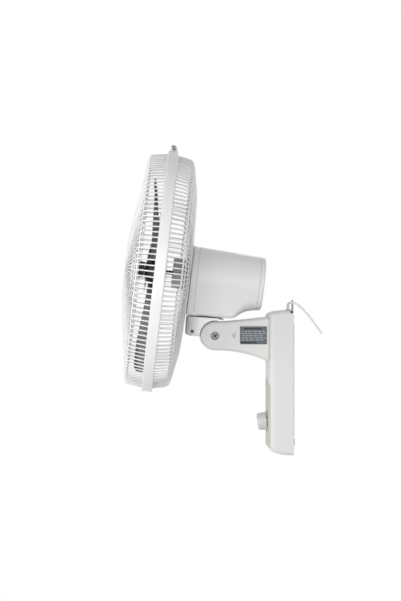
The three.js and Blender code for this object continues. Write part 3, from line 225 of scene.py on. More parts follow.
def cut(piece, tool, how="DIFFERENCE"):
    """Takes the tool's volume out of the piece, or joins or keeps it, and deletes the tool."""
    carve = piece.modifiers.new("carve", "BOOLEAN")
    carve.operation, carve.object, carve.solver = how, tool, "EXACT"
    with bpy.context.temp_override(object=piece, active_object=piece):
        bpy.ops.object.modifier_apply(modifier=carve.name)
    bpy.data.objects.remove(tool)
    piece.data.set_sharp_from_angle(angle=math.radians(CREASE))
    return piece


def drill(piece, radius, centre, low, high, axis="Y", place=HEAD, steps=40):
    """Cuts a plain round hole along an axis."""
    return cut(piece, rod("cutter", radius, centre, low, high, axis, place, steps, 0))


def box(left, right, low, high):
    """The four corners of a rectangle between its sides."""
    return [(left, low), (right, low), (right, high), (left, high)]


print("mesh makers ready")

# %% [markdown]
# ## The power cord
#
# A flat twin flex leaves the top of the column through a small bush, arches over beside the steel
# ear and drops behind the wall plane, where it ends bare, with its two copper cores showing. Its
# section is two round wires side by side, so it is swept with a waisted outline. The route is a
# handful of points, and a smooth curve runs through them.

# %% Power cord
CORD_WIDTH = 5.6
CORE_RADIUS = 1.6
CORE_APART = CORD_WIDTH / 2 - CORE_RADIUS
CORD_ROUTE = [
    (14, -10.5, 127), (14, -10.5, 129.6), (14, -10.5, 132), (14.6, -10.7, 136.2),
    (16.5, -10.8, 140.2), (19.5, -10.4, 143.5), (23, -8.9, 145.9), (26.6, -6.4, 147),
    (29.8, -3.3, 146.9), (32.5, 0.1, 145.9), (34.6, 3.6, 144), (36.2, 7, 141.6),
    (38.9, 15.7, 133.7), (41.1, 24.5, 123.4), (43.1, 32.7, 112.6), (45.3, 40.6, 101.6),
    (48.7, 48.4, 90.7),
]


def smooth_line(points, steps=5):
    """Points on a smooth curve through the given ones."""
    line = [Vector(p) for p in points]
    ends = [line[0] * 2 - line[1], *line, line[-1] * 2 - line[-2]]
    smooth = []
    for a, b, c, d in zip(ends, ends[1:], ends[2:], ends[3:]):
        for k in range(steps):
            t = k / steps
            point = b * 2 + (c - a) * t + (a * 2 - b * 5 + c * 4 - d) * t ** 2
            smooth.append((point + (b * 3 - a - c * 3 + d) * t ** 3) / 2)
    return [tuple(p) for p in smooth] + [tuple(points[-1])]


def twin_section(steps=14):
    """Outline of two joined round wires, as (across, through)."""
    half = math.acos(-CORE_APART / CORE_RADIUS * 0.82)
    right = [(CORE_APART + CORE_RADIUS * math.cos(half * (2 * k / steps - 1)),
              CORE_RADIUS * math.sin(half * (2 * k / steps - 1))) for k in range(steps + 1)]
    return right + [(-u, -v) for u, v in right]


cord_line = smooth_line(CORD_ROUTE)
power_cord = swept("flex", cord_line, twin_section(), side=(0.9, 0.3, 0))
cord_tip = Vector(cord_line[-1])
cord_end = (cord_tip - Vector(cord_line[-2])).normalized()

# %% [markdown]
# ## Shared effects
#
# A moulded surface is never one flat colour. Seen close it has a fine grain from the tool, seen
# from further off its tone drifts a little, and dust settles on whatever faces up. Each effect is
# a node group with its own inputs, so every finish can use it in its own strength. They work on
# object coordinates, so nothing slides when the camera moves.

# %% Node helpers
def start_group(name, inputs, outputs):
    """An empty node group with the named sockets."""
    group = bpy.data.node_groups.new(name, "ShaderNodeTree")
    for label, kind, value in inputs:
        socket = group.interface.new_socket(name=label, in_out="INPUT", socket_type=kind)
        socket.default_value = value
    for label, kind in outputs:
        group.interface.new_socket(name=label, in_out="OUTPUT", socket_type=kind)
    given, result = group.nodes.new("NodeGroupInput"), group.nodes.new("NodeGroupOutput")
    return group, given.outputs, result.inputs


def node(tree, kind, links=(), **values):
    """Adds a node, sets its values and joins its inputs to (input, socket) pairs."""
    made = tree.nodes.new(kind)
    for key, value in values.items():
        setattr(made, key, value)
    for key, source in links:
        if isinstance(source, bpy.types.NodeSocket):
            tree.links.new(source, made.inputs[key])
        else:
            made.inputs[key].default_value = source
    return made


def maths(tree, operation, a, b, clamp=False):
    """One arithmetic node; returns its result."""
    made = node(tree, "ShaderNodeMath", [(0, a), (1, b)], operation=operation, use_clamp=clamp)
    return made.outputs[0]


def noise(tree, place, scale, detail):
    """One noise texture; returns its value."""
    links = [("Vector", place), ("Scale", scale), ("Detail", detail)]
    return node(tree, "ShaderNodeTexNoise", links).outputs["Fac"]


FLOAT, COLOUR = "NodeSocketFloat", "NodeSocketColor"
print("node helpers ready")

# %% Effect groups
def build_tone_drift():
    """Varies a colour slowly over the surface, a little lighter here and darker there."""
    group, given, result = start_group(
        "tone_drift",
        [("Colour", COLOUR, (0.8, 0.8, 0.8, 1)), ("Scale", FLOAT, 18), ("Amount", FLOAT, 0.04)],
        [("Colour", COLOUR)])
    place = node(group, "ShaderNodeTexCoord").outputs["Object"]
    swing = maths(group, "SUBTRACT", noise(group, place, given["Scale"], 3.0), 0.5)
    gain = maths(group, "MULTIPLY", swing, given["Amount"])
    value = maths(group, "ADD", gain, 1.0)
    tinted = node(group, "ShaderNodeHueSaturation",
                  [("Color", given["Colour"]), ("Value", value)])
    group.links.new(tinted.outputs["Color"], result["Colour"])
    return group


def build_settled_dust():
    """Lays a thin pale film on faces that look up, thicker where a cloud says so."""
    group, given, result = start_group(
        "settled_dust",
        [("Colour", COLOUR, (0.8, 0.8, 0.8, 1)), ("Dust", COLOUR, (0.46, 0.45, 0.42, 1)),
         ("Amount", FLOAT, 0.12)],
        [("Colour", COLOUR), ("Mask", FLOAT)])
    facing = node(group, "ShaderNodeNewGeometry").outputs["Normal"]
    up = node(group, "ShaderNodeSeparateXYZ", [("Vector", facing)]).outputs["Z"]
    place = node(group, "ShaderNodeTexCoord").outputs["Object"]
    upward = maths(group, "SUBTRACT", up, 0.35, clamp=True)
    film = maths(group, "MULTIPLY", upward, noise(group, place, 60.0, 5.0))
    mask = maths(group, "MULTIPLY", film, given["Amount"], clamp=True)
    # The colour sockets of a Mix node share their names with its other kinds, so they go by number.
    mixed = node(group, "ShaderNodeMix",
                 [("Factor", mask), (6, given["Colour"]), (7, given["Dust"])],
                 data_type="RGBA")
    group.links.new(mixed.outputs[2], result["Colour"])
    group.links.new(mask, result["Mask"])
    return group


def build_fine_grain():
    """A fine even grain as a height, and the small change of roughness that goes with it."""
    group, given, result = start_group(
        "fine_grain",
        [("Scale", FLOAT, 900), ("Stretch", "NodeSocketVector", (1, 1, 1)),
         ("Roughness", FLOAT, 0.4), ("Spread", FLOAT, 0.08)],
        [("Height", FLOAT), ("Roughness", FLOAT)])
    place = node(group, "ShaderNodeTexCoord").outputs["Object"]
    scaled = node(group, "ShaderNodeVectorMath",
                  [(0, place), (1, given["Stretch"])], operation="MULTIPLY").outputs[0]
    grain = noise(group, scaled, given["Scale"], 2.0)
    broad = maths(group, "SUBTRACT", noise(group, scaled, 40.0, 4.0), 0.5)
    drift = maths(group, "MULTIPLY", broad, given["Spread"])
    rough = maths(group, "ADD", drift, given["Roughness"], clamp=True)
    group.links.new(grain, result["Height"])
    group.links.new(rough, result["Roughness"])
    return group


TONE_DRIFT = build_tone_drift()
SETTLED_DUST = build_settled_dust()
FINE_GRAIN = build_fine_grain()
print("effects:", ", ".join(g.name for g in bpy.data.node_groups))

# %% [markdown]
# ## Finishes
#
# Each finish is one Principled shader with the shared effects placed in front of it. Plain values,
# such as the coat on a glossy moulding, are set on the shader's own sockets.

# %% Finish maker
FINISHES = {}


def finish(name, colour, roughness, metallic=0.0, grain=900, bump=0.03, spread=0.08, drift=0.05,
           dust=0.1, stretch=(1, 1, 1), coat=0.0, coat_roughness=0.2, specular=0.5):
    """A material with drifting tone, settled dust, fine grain and, if asked for, a clear coat."""
    material = bpy.data.materials.new(name)
    material.use_nodes = True
    tree = material.node_tree
    shader = tree.nodes["Principled BSDF"]
    toned = node(tree, "ShaderNodeGroup", node_tree=TONE_DRIFT)
    toned.inputs["Colour"].default_value = (*colour, 1)
    toned.inputs["Amount"].default_value = drift
    dusted = node(tree, "ShaderNodeGroup", node_tree=SETTLED_DUST)
    dusted.inputs["Amount"].default_value = dust
    tree.links.new(toned.outputs["Colour"], dusted.inputs["Colour"])
    tree.links.new(dusted.outputs["Colour"], shader.inputs["Base Color"])
    grained = node(tree, "ShaderNodeGroup", node_tree=FINE_GRAIN)
    grained.inputs["Scale"].default_value = grain
    grained.inputs["Stretch"].default_value = stretch
    grained.inputs["Roughness"].default_value = roughness
    grained.inputs["Spread"].default_value = spread
    tree.links.new(grained.outputs["Roughness"], shader.inputs["Roughness"])
    relief = node(tree, "ShaderNodeBump", [("Strength", bump), ("Distance", 0.0003),
                                           ("Height", grained.outputs["Height"])])
    tree.links.new(relief.outputs["Normal"], shader.inputs["Normal"])
    shader.inputs["Metallic"].default_value = metallic
    shader.inputs["Specular IOR Level"].default_value = specular
    shader.inputs["Coat Weight"].default_value = coat
    shader.inputs["Coat Roughness"].default_value = coat_roughness
    FINISHES[name] = material
    return material


def dress(piece, material, body=None):
    """Gives a piece its finish, and lets a new piece ride on its body."""
    piece.data.materials.clear()
    piece.data.materials.append(FINISHES[material])
    if body:
        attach(piece, body)
    return piece


# %% [markdown]
# White mouldings come in a few shades on one fan: the housing and the column are a cool grey-white,
# the arm is a touch warmer, and the guard ring is the brightest. All have a satin sheen.
# The neck is the housing's moulding in a lighter finish: painted light against the cage's shade.

# %% Finishes of the fan
finish("shell_satin", (0.79, 0.79, 0.785), 0.36, coat=0.12)
finish("column_satin", (0.65, 0.65, 0.645), 0.38, coat=0.1)
finish("arm_satin", (0.64, 0.635, 0.627), 0.4, coat=0.08)
finish("ring_satin", (0.77, 0.77, 0.765), 0.34, coat=0.15)
finish("wire_enamel", (0.80, 0.805, 0.81), 0.32, grain=1500, bump=0.02, drift=0.04, coat=0.2)
finish("panel_greige", (0.515, 0.505, 0.435), 0.55, grain=1600, bump=0.08)
finish("knob_satin", (0.55, 0.545, 0.532), 0.42)
finish("smoky_blade", (0.015, 0.018, 0.026), 0.34, drift=0.5, dust=0.25, specular=0.3)
finish("black_gloss", (0.012, 0.012, 0.013), 0.22, dust=0.25)
finish("hub_black", (0.02, 0.02, 0.022), 0.34, dust=0.3)
finish("bolt_grey", (0.42, 0.43, 0.44), 0.42, grain=700, bump=0.05)
# The neck's finish is lighter than the housing's: painted light for the shade the cage casts on it.
finish("neck_satin_painted_light", (0.88, 0.88, 0.875), 0.4)
finish("nut_grey", (0.64, 0.655, 0.68), 0.42, grain=700, bump=0.05)
finish("plated_steel", (0.56, 0.56, 0.555), 0.34, metallic=1.0, grain=260, bump=0.04,
       stretch=(1, 1, 14), spread=0.2)
finish("bright_zinc", (0.66, 0.665, 0.67), 0.26, metallic=1.0, grain=420, spread=0.2)
finish("satin_foil", (0.10, 0.108, 0.12), 0.5, metallic=0.2, grain=300, bump=0.02,
       stretch=(1, 1, 20), spread=0.12, dust=0.02)
finish("foil_print", (0.012, 0.013, 0.015), 0.6)
finish("foil_pale", (0.30, 0.325, 0.37), 0.5)
finish("cast_alloy", (0.45, 0.46, 0.47), 0.5, metallic=1.0, grain=380, bump=0.12)
finish("laminations", (0.18, 0.185, 0.19), 0.45, metallic=0.9, grain=160, bump=0.15,
       stretch=(1, 12, 1))
finish("copper_wire", (0.45, 0.15, 0.06), 0.3, metallic=0.9, grain=240, bump=0.3,
       stretch=(1, 8, 1))
finish("sintered_bronze", (0.42, 0.26, 0.09), 0.42, metallic=1.0, grain=700, bump=0.08)
finish("soft_rubber", (0.66, 0.65, 0.60), 0.75, grain=1200, bump=0.1, dust=0.2)
finish("cord_vinyl", (0.78, 0.78, 0.77), 0.42, grain=800)
finish("phenolic_dark", (0.03, 0.027, 0.024), 0.5, bump=0.08)
finish("capacitor_grey", (0.56, 0.56, 0.53), 0.5)
finish("hanger_steel", (0.30, 0.295, 0.27), 0.4, metallic=1.0, grain=260, bump=0.04,
       stretch=(1, 1, 14), spread=0.2)
finish("dark_screw", (0.16, 0.16, 0.165), 0.36, metallic=1.0, grain=420, spread=0.2)
finish("mark_grey", (0.17, 0.165, 0.16), 0.6)
finish("recess_shadow", (0.035, 0.032, 0.028), 0.7)
print(len(FINISHES), "finishes")

# %% [markdown]
# ## Hidden works
#
# The motor, its bearings, the swing linkage, the switch and the screws inside the column keep
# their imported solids. Few of them are seen, so they only need their own finishes. The solids that
# a finer piece stands in for further on get theirs here as well.

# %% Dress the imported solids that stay
KEPT_NODES = {
    "plated_steel": "mounting_plate switch_spindle plate_screw_1 plate_screw_2 arm_screw_1 "
                    "arm_screw_2 tilt_nut tilt_washer_left tilt_washer_right "
                    "swing_pivot link_anchor swing_link cap_screw drive_pin "
                    "cover_screw_1 cover_screw_2 cover_screw_3 cover_screw_4",
    "bright_zinc": "swing_nut swing_motor",
    "dark_screw": "clamp_screw clamp_nut",
    # The steel neck screw is dressed black as painted shade of the deep hole it sits in.
    "hub_black": "swing_washer motor_shaft neck_screw",
    "sintered_bronze": "swing_crank bearing_front bearing_rear",
    "cast_alloy": "front_bracket rear_bracket",
    "laminations": "stator_core rotor_core",
    "copper_wire": "winding_front winding_rear",
    "phenolic_dark": "rotary_switch",
    "capacitor_grey": "run_capacitor",
    "arm_satin": "arm terminal_block back_cover",
    "soft_rubber": "wall_pad_left wall_pad_right cable_bush",
    "nut_grey": "lock_nut",
    "shell_satin": "neck_bracket motor_housing motor_front_cover rear_cap",
    "column_satin": "column_shell",
    "knob_satin": "speed_knob",
    "panel_greige": "control_panel",
    "ring_satin": "guard_ring grille_badge",
    "wire_enamel": "centre_plate front_grille rear_grille",
    "smoky_blade": "fan_blade",
    "black_gloss": "spinner_nut",
    "satin_foil": "rating_plate",
    "cord_vinyl": "power_cord",
}
for material, names in KEPT_NODES.items():
    for name in names.split():
        dress(nodes[name], material)
for solid in nodes.values():
    solid.data.shade_smooth()
    solid.data.set_sharp_from_angle(angle=math.radians(CREASE))
print("dressed", len(nodes), "packed solids")

# %% Cord and its two bare cores
dress(power_cord, "cord_vinyl", "base")
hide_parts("power_cord")
for number, apart in enumerate((-CORE_APART, CORE_APART), start=1):
    start = cord_tip + Vector((0.9, 0.3, 0)).cross(cord_end).normalized() * apart
    path = [tuple(start - cord_end * 1.5), tuple(start), tuple(start + cord_end * 0.5)]
    core = swept(f"cord_core_{number}", path, arc(0.65, 12))
    dress(core, "copper_wire", "base")

# %% [markdown]
# ## Motor housing
#
# The housing is one long tapering cup. Above it is round, and below it grows a foot that stands
# square on the swing axis and fades out towards the rear. Each section is a big arc joined by
# straight flanks to two small arcs, so the skin is lofted through many such sections, out along
# the outside and back along the inside, which gives the wall its thickness in one go.

# %% Housing sections
COVER_FRONT, COVER_REAR = 56.8, 68.4
HOUSING_END = 192.6
CAP_FRONT = HOUSING_END - 9
HOUSING_WALL = 2.5
SLOT_OUT, SLOT_IN = 22.8, 17.2
FOOT_REAR, FOOT_HALF, FOOT_CORNER, FOOT_GAP = 136, 35, 9, 1.7


def housing_radius(y):
    """Radius of the housing's round part, at a distance behind the guard ring's middle."""
    if y < COVER_REAR:
        return 54.8 - 1.5 * (y - COVER_FRONT) / (COVER_REAR - COVER_FRONT)
    return 53.3 - (y - COVER_REAR) * 0.0509


def foot_depth(y):
    """How far the foot's underside lies below the rotor's axis."""
    lean = math.radians(HEAD_LEAN)
    sole = (AXIS_RISE - FOOT_GAP) / math.cos(lean) - math.tan(lean) * min(y, FOOT_REAR)
    end = housing_radius(HOUSING_END) + 1.5
    away = max(0, (y - FOOT_REAR) / (HOUSING_END - FOOT_REAR))
    return end + (sole - end) / (1 + (away / 0.38) ** 2.4)


def housing_ring(y, inset=0.0, fine=12):
    """One section of the housing as points, drawn in by `inset` all round."""
    radius, depth = housing_radius(y), foot_depth(y)
    blend = min(1, max(0, (depth - radius) / (foot_depth(FOOT_REAR) - radius)))
    corner = FOOT_CORNER * blend + 0.9 * radius * (1 - blend)
    across, below = (FOOT_HALF - FOOT_CORNER) * blend, depth - corner
    tangent = math.atan2(-below, across)
    tangent += math.acos(min(1, (radius - corner) / math.hypot(across, below)))
    arcs = [(across, -below, corner, -math.pi / 2, tangent, fine),
            (0, 0, radius, tangent, math.pi - tangent, 4 * fine),
            (-across, -below, corner, math.pi - tangent, 1.5 * math.pi, fine)]
    ring = []
    for x, z, r, low, high, count in arcs:
        for k in range(count + 1):
            turn = low + (high - low) * k / count
            ring.append((x + (r - inset) * math.cos(turn), y, z + (r - inset) * math.sin(turn)))
    return ring


def round_ring(y, radius):
    """A round ring with its points in the same directions as a housing section's."""
    flat = [Vector((x, 0, z)).normalized() * radius for x, _, z in housing_ring(COVER_FRONT)]
    return [(p.x, y, p.z) for p in flat]


def spread(low, high, count):
    """Evenly spaced values from low to high."""
    return [low + (high - low) * k / (count - 1) for k in range(count)]


print("foot under the rotor's axis:", round(foot_depth(COVER_REAR), 1), "mm")

# %% Housing shell
lip_front, lip_rear = COVER_REAR + 0.3, CAP_FRONT - 0.3
outside = [housing_ring(lip_front, 0.2), housing_ring(lip_front + 0.3)]
outside += [housing_ring(y) for y in spread(lip_front + 1.5, lip_rear - 1.5, 34)]
outside += [housing_ring(lip_rear - 0.5), housing_ring(lip_rear, 0.5)]
inside = [housing_ring(y, HOUSING_WALL) for y in spread(lip_rear, lip_front, 20)]
housing = lofted("housing_shell", outside + inside, HEAD, closed=True)
drill(housing, 6.3, (0, 0), -5, 12, "Z", SWING)
slot_turns = [math.radians(180 + 52 * (k / 12 - 1)) for k in range(25)]
slot_line = [(SLOT_OUT * math.cos(t), SLOT_OUT * math.sin(t)) for t in slot_turns]
slot_line += [(SLOT_IN * math.cos(t), SLOT_IN * math.sin(t)) for t in reversed(slot_turns)]
slot_rings = [[(x, y, z) for x, y in slot_line] for z in (-5, 8)]
cut(housing, lofted("cutter", slot_rings, SWING))
dress(housing, "shell_satin", "head")
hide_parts("motor_housing")
boss = turned("pivot_boss", box(6.3, 10, 3.9, 6.6),
              SWING @ Matrix.Rotation(math.pi / 2, 4, "X"), 48)
dress(boss, "shell_satin", "head")
for number, apart in enumerate((-20.5, 20.5), start=1):
    post = rod(f"drive_post_{number}", 3, (-7.144 + apart, 34), 4, 12.6, "Z", SWING, 20, 0.2)
    dress(post, "shell_satin", "head")
print("housing shell:", len(housing.data.polygons), "faces")

# %% [markdown]
# The front cover closes the cup's mouth with a flat face and a round boss in its middle, and the
# rear cap closes the other end. Each meets the shell in a fine seam, which is left open a hair.

# %% Front cover and rear cap
skin_lines = [(COVER_REAR, 0.2), (COVER_REAR - 0.3, 0), (65, 0), (60, 0), (58.2, 0.15),
              (57.4, 0.5), (57.0, 1.0), (COVER_FRONT, 1.8)]
cover_rings = [housing_ring(y, inset) for y, inset in skin_lines]
cover_rings += [round_ring(COVER_FRONT, 36), round_ring(56.6, 30), round_ring(55.8, 28.2)]
cover_rings += [round_ring(54, 27.7), round_ring(48.2, 27.7), round_ring(47.7, 27.2)]
cover_rings += [round_ring(47.7, 13.3), round_ring(59.3, 13.3), round_ring(59.3, 36)]
cover_rings += [housing_ring(59.3, 6), housing_ring(60.5, HOUSING_WALL),
                housing_ring(COVER_REAR, HOUSING_WALL)]
front_cover = lofted("front_cover", cover_rings, HEAD, closed=True)
dress(front_cover, "shell_satin", "head")
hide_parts("motor_front_cover")

cap_edge = 4.0
outer_rings = [housing_ring(CAP_FRONT, 0.5), housing_ring(CAP_FRONT + 0.5)]
for k in range(9):
    turn = math.radians(11.25 * k)
    y = HOUSING_END - cap_edge + cap_edge * math.sin(turn)
    outer_rings.append(housing_ring(y, cap_edge * (1 - math.cos(turn))))
inner_rings = [housing_ring(HOUSING_END - HOUSING_WALL, cap_edge + 1),
               housing_ring(HOUSING_END - HOUSING_WALL - 2, HOUSING_WALL),
               housing_ring(CAP_FRONT, HOUSING_WALL)]
flat_rings = [round_ring(HOUSING_END, 6), round_ring(HOUSING_END - HOUSING_WALL, 6)]
rear_cap = lofted("rear_cap_shell", outer_rings + flat_rings + inner_rings, HEAD, closed=True)
print("cap seam at", CAP_FRONT, "mm behind the ring's middle")

# %% Cap vents
for row in range(-1, 3):
    half = 20 - 3 * abs(row)
    slit = rounded(box(-half, half, 11 * row - 2.5, 11 * row + 2.5), 2.4)
    cut(rear_cap, prism("cutter", slit, CAP_FRONT + 2, HOUSING_END + 1, "Y", HEAD, 0))
drill(rear_cap, 4.4, (0, -34), HOUSING_END - 3.2, HOUSING_END + 1)
dress(rear_cap, "shell_satin", "head")
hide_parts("rear_cap")
print("rear cap:", len(rear_cap.data.polygons), "faces")

# %% [markdown]
# ## Wire cage
#
# Each grille is welded from some hundred and thirty thin wires that run from a small ring in the
# middle, over the face, round the corner and down the side to the rim, with a few rings welded
# under them. One wire is a smooth line in a plane through the axis, so its round section is easy
# to lay out there, and the same line is turned round the axis for all the others.

# %% Grilles
WIRES = 136
WIRE_RADIUS = 1.2
RIM_RADIUS, SIDE_RADIUS = 218.2, 215.4


def cage_wires(name, corners, rings, bend=9.0):
    """All wires of one grille along the rounded (radius, y) corners, with its rings."""
    line = [Vector(p) for p in rounded(corners, bend, 5, closed=False)]
    points, faces = [], []
    sides, sides_round, turns = 6, 8, 192
    for wire in range(WIRES):
        angle = 2 * math.pi * (wire + 0.5) / WIRES
        out = Vector((math.cos(angle), math.sin(angle)))
        round_about = Vector((-out.y, out.x))
        first = len(points)
        for i, here in enumerate(line):
            along = (line[min(i + 1, len(line) - 1)] - line[max(i - 1, 0)]).normalized()
            for u, v in arc(1, sides):
                radius = here.x - along.y * u * WIRE_RADIUS
                y = here.y + along.x * u * WIRE_RADIUS
                flat = out * radius + round_about * v * WIRE_RADIUS
                points.append((flat.x, y, flat.y))
        faces += skin(first, len(line), sides, False)
        last = first + (len(line) - 1) * sides
        faces += [tuple(range(first, first + sides)), tuple(range(last, last + sides))]
    for radius, y, thick in rings:
        faces += skin(len(points), turns, sides_round, True)
        section = arc(thick, sides_round, centre=(radius, y))
        points += [(r * u, at, r * v) for u, v in arc(1, turns) for r, at in section]
    return new_piece(name, points, faces, HEAD, 60)


front_corners = [(RIM_RADIUS, -4.6), (SIDE_RADIUS, -9.6), (211.6, -37.8), (208.3, -42.2),
                 (174, -46.5), (120, -54.5), (70, -61.2), (46.5, -63.6)]
front_rings = [(RIM_RADIUS, -4.6, 1.9), (206.5, -40.6, 1.4), (174, -44.4, 1.2), (148, -48.4, 1.2),
               (82, -57.6, 1.2), (48.2, -61.6, 1.6)]
front_grille = cage_wires("front_wires", front_corners, front_rings)
dress(front_grille, "wire_enamel", "head")
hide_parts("front_grille")

rear_corners = [(RIM_RADIUS, 4.6), (214.4, 9.8), (210, 35), (203, 40.1),
                (148, 50.6), (100, 53.4), (57, 54.9)]
rear_rings = [(RIM_RADIUS, 4.6, 1.9), (201.6, 38.4, 1.4), (174, 43.8, 1.2), (148, 48.8, 1.2),
              (100, 51.4, 1.2), (59, 52.6, 1.6)]
rear_grille = cage_wires("rear_wires", rear_corners, rear_rings)
dress(rear_grille, "wire_enamel", "head")
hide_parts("rear_grille")
print("wires:", WIRES, "a side, faces:", len(front_grille.data.polygons))

# %% [markdown]
# ## Guard ring
#
# The two rims are held in a moulded ring with turned-in lips. Its section is turned round the
# axis nearly all the way, and at the top it is split and drawn together by a screw through two
# ears.

# %% Guard ring and its ears
RING_RADIUS, RING_EDGE, RING_SHEET, RING_LIP = 223.0, 10.0, 2.0, 4.7
CLAMP_GAP, CLAMP_EAR, CLAMP_HEIGHT = 3.0, 3.0, 229.0
lip = RING_RADIUS - RING_LIP
ring_section = rounded([(lip, -RING_EDGE), (RING_RADIUS, -RING_EDGE + 0.6), (RING_RADIUS, 0),
                        (RING_RADIUS, RING_EDGE - 0.6), (lip, RING_EDGE)], 1.6, 5, closed=False)
ring_section += rounded(box(lip, RING_RADIUS - RING_SHEET, RING_EDGE - 1.6, 1.6 - RING_EDGE),
                        0.8, 2, closed=False)
half_gap = math.asin(CLAMP_GAP / 2 / RING_RADIUS)
ring_turns = [math.pi / 2 + half_gap + (2 * math.pi - 2 * half_gap) * k / 240 for k in range(241)]
ring_stations = [[(r * math.cos(t), y, r * math.sin(t)) for r, y in ring_section]
                 for t in ring_turns]
guard_ring = lofted("guard_band", ring_stations, HEAD)
dress(guard_ring, "ring_satin", "head")
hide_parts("guard_ring")
for number, side in enumerate((-1, 1), start=1):
    near, far = side * CLAMP_GAP / 2, side * (CLAMP_GAP / 2 + CLAMP_EAR)
    brow = arc(5.5, 16, math.pi, (0, CLAMP_HEIGHT))
    outline = [(8.5, RING_RADIUS - 1.0), *brow, (-8.5, RING_RADIUS - 1.0)]
    ear = prism(f"ring_ear_{number}", outline, min(near, far), max(near, far), "X", HEAD, 0.5)
    drill(ear, 2.3, (0, CLAMP_HEIGHT), -8, 8, "X", HEAD, 20)
    dress(ear, "ring_satin", "head")
print("guard ring:", len(guard_ring.data.polygons), "faces")

# %% [markdown]
# ## Badge, centre plate and nuts
#
# The badge is a shallow pressed disc with a raised edge that hides the ends of the front wires.
# Behind the blade a plate stiffens the rear wires, and a large ribbed nut holds it on the motor.

# %% Turned pieces in the cage
badge = turned("badge_disc", [
    (0.01, -65.9), (20, -65.9), (33, -65.8), (34.2, -65.3), (35, -64.9), (42.8, -65.1),
    (44.6, -64.9), (45.6, -64.2), (46.2, -62.9), (46.2, -62), (49.5, -62), (49.6, -60.6),
    (42.6, -60.6), (42.6, -62.4), (0.01, -62.4)], HEAD)
dress(badge, "ring_satin", "head")
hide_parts("grille_badge")
centre_plate = turned("centre_dish", [
    (13.4, 46.2), (31, 46.2), (32.6, 46.6), (52.6, 51.8), (54.4, 52.2), (59.4, 52.2), (60, 52.8),
    (59.6, 53.3), (53.8, 53.4), (52, 53), (31.6, 47.5), (30.6, 47.3), (13.4, 47.3), (13.4, 46.2)],
    HEAD)
dress(centre_plate, "wire_enamel", "head")
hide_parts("centre_plate")


def gripped(name, radius, notch, count, front, rear):
    """A drum with scooped grips round its side and eased rims, as a stack of outlines."""
    def outline(reach):
        line = []
        for step in range(count * 12):
            angle = 2 * math.pi * step / (count * 12)
            scoop = max(0.0, math.cos(count * angle)) ** 6
            line.append((reach - notch * scoop, angle))
        return line

    heights = [(front, radius - 2.2), (front + 0.5, radius - 0.8), (front + 1.5, radius),
               (rear - 0.8, radius), (rear, radius - 0.8)]
    rings = [[(r * math.cos(t), y, r * math.sin(t)) for r, t in outline(reach)]
             for y, reach in heights]
    return lofted(name, rings, HEAD, 40)


lock_nut = gripped("ribbed_nut", 27.7, 1.8, 16, 23.0, 45.9)
drill(lock_nut, 13.3, (0, 0), 20, 50, "Y", HEAD, 60)
dress(lock_nut, "nut_grey", "head")
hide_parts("lock_nut")
spinner = gripped("spinner_drum", 15.0, 1.2, 12, -40.0, -29.3)
drill(spinner, 4.3, (0, 0), -36.3, -28)
dress(spinner, "black_gloss", "rotor")
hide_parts("spinner_nut")
print("turned pieces:", badge.name, centre_plate.name, lock_nut.name, spinner.name)

# %% [markdown]
# ## Blade
#
# The rotor is one moulding: a hub with a blunt nose and three broad blades. A blade covers about
# a hundred degrees. It starts near the rear of the hub, is carried forward as it goes round, and
# its far corners are rounded, so its edge is drawn as an arc of a circle in the plan.

# %% Rotor
HUB_RADIUS, BLADE_TIP, BLADE_HALF = 23.0, 190.0, 1.1
BLADE_COUNT, BLADE_PHASE, BLADE_SWEEP, BLADE_LEAD = 3, 131, 106, 14


def blade_axial(radius, s):
    """How far in front of or behind the hub's middle the blade lies, at a share s of its sweep."""
    out = (radius - HUB_RADIUS) / (BLADE_TIP - HUB_RADIUS)
    front = 19 + 9 * out
    rear = 8 * (1 - 0.25 * (1 - out))
    return rear - (front + rear) * s - 3 * math.sin(math.pi * s) * (1 - 0.4 * out)


def blade_sweep(radius):
    """The angle in radians that the blade covers at a radius."""
    out = (radius - HUB_RADIUS) / (BLADE_TIP - HUB_RADIUS)
    rounded_tip = math.sqrt(max(0, 1 - ((out - 0.82) / 0.185) ** 2)) if out > 0.82 else 1
    grown = 0.74 + 0.26 * math.sin(math.pi * min(out / 0.9, 1) / 2)
    return math.radians(BLADE_SWEEP) * grown * (0.35 + 0.65 * rounded_tip)


def blade_rings(turn):
    """Cross-sections of one blade from the hub to the tip, thin at both edges."""
    shares = [k / 14 for k in range(12)] + [0.82, 0.86, 0.9, 0.93, 0.955, 0.975, 0.99, 1.0]
    rings = []
    for radius in [HUB_RADIUS - 2] + [HUB_RADIUS + (BLADE_TIP - HUB_RADIUS) * v for v in shares]:
        held = max(radius, HUB_RADIUS)
        sweep, lead = blade_sweep(held), turn + math.radians(BLADE_LEAD) * (radius / BLADE_TIP) ** 2
        upper, lower = [], []
        for k in range(33):
            s = k / 32
            angle = lead + sweep * (s - 0.5)
            half = BLADE_HALF * min(1, 0.3 + 0.7 * math.sin(math.pi * s) * 3)
            half *= 1 if radius < BLADE_TIP - 2 else 0.6
            y = blade_axial(held, s)
            upper.append((radius * math.cos(angle), y + half, radius * math.sin(angle)))
            lower.append((radius * math.cos(angle), y - half, radius * math.sin(angle)))
        rings.append(upper + lower[::-1])
    return rings


hub = turned("rotor_hub", [
    (0.01, -28.8), (11, -28.8), (13.6, -28.4), (14.6, -27.4), (21.4, -22.6), (22.4, -21.6),
    (23, -19.8), (23, 10.2), (22.4, 11), (0.01, 11)], HEAD, 96)
drill(hub, 4.3, (0, 0), -50, 50)
cut(hub, prism("cutter", box(-11.3, 11.3, -1.9, 1.9), 7.4, 16, "Y", HEAD, 0))
dress(hub, "hub_black", "rotor")
blades = []
for number in range(BLADE_COUNT):
    rings = blade_rings(math.radians(BLADE_PHASE + 360 / BLADE_COUNT * number))
    blade = lofted(f"blade_{number + 1}", rings, HEAD, 50)
    blades.append(dress(blade, "smoky_blade", "rotor"))
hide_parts("fan_blade")
print("rotor:", len(blades), "blades of", len(blades[0].data.polygons), "faces")

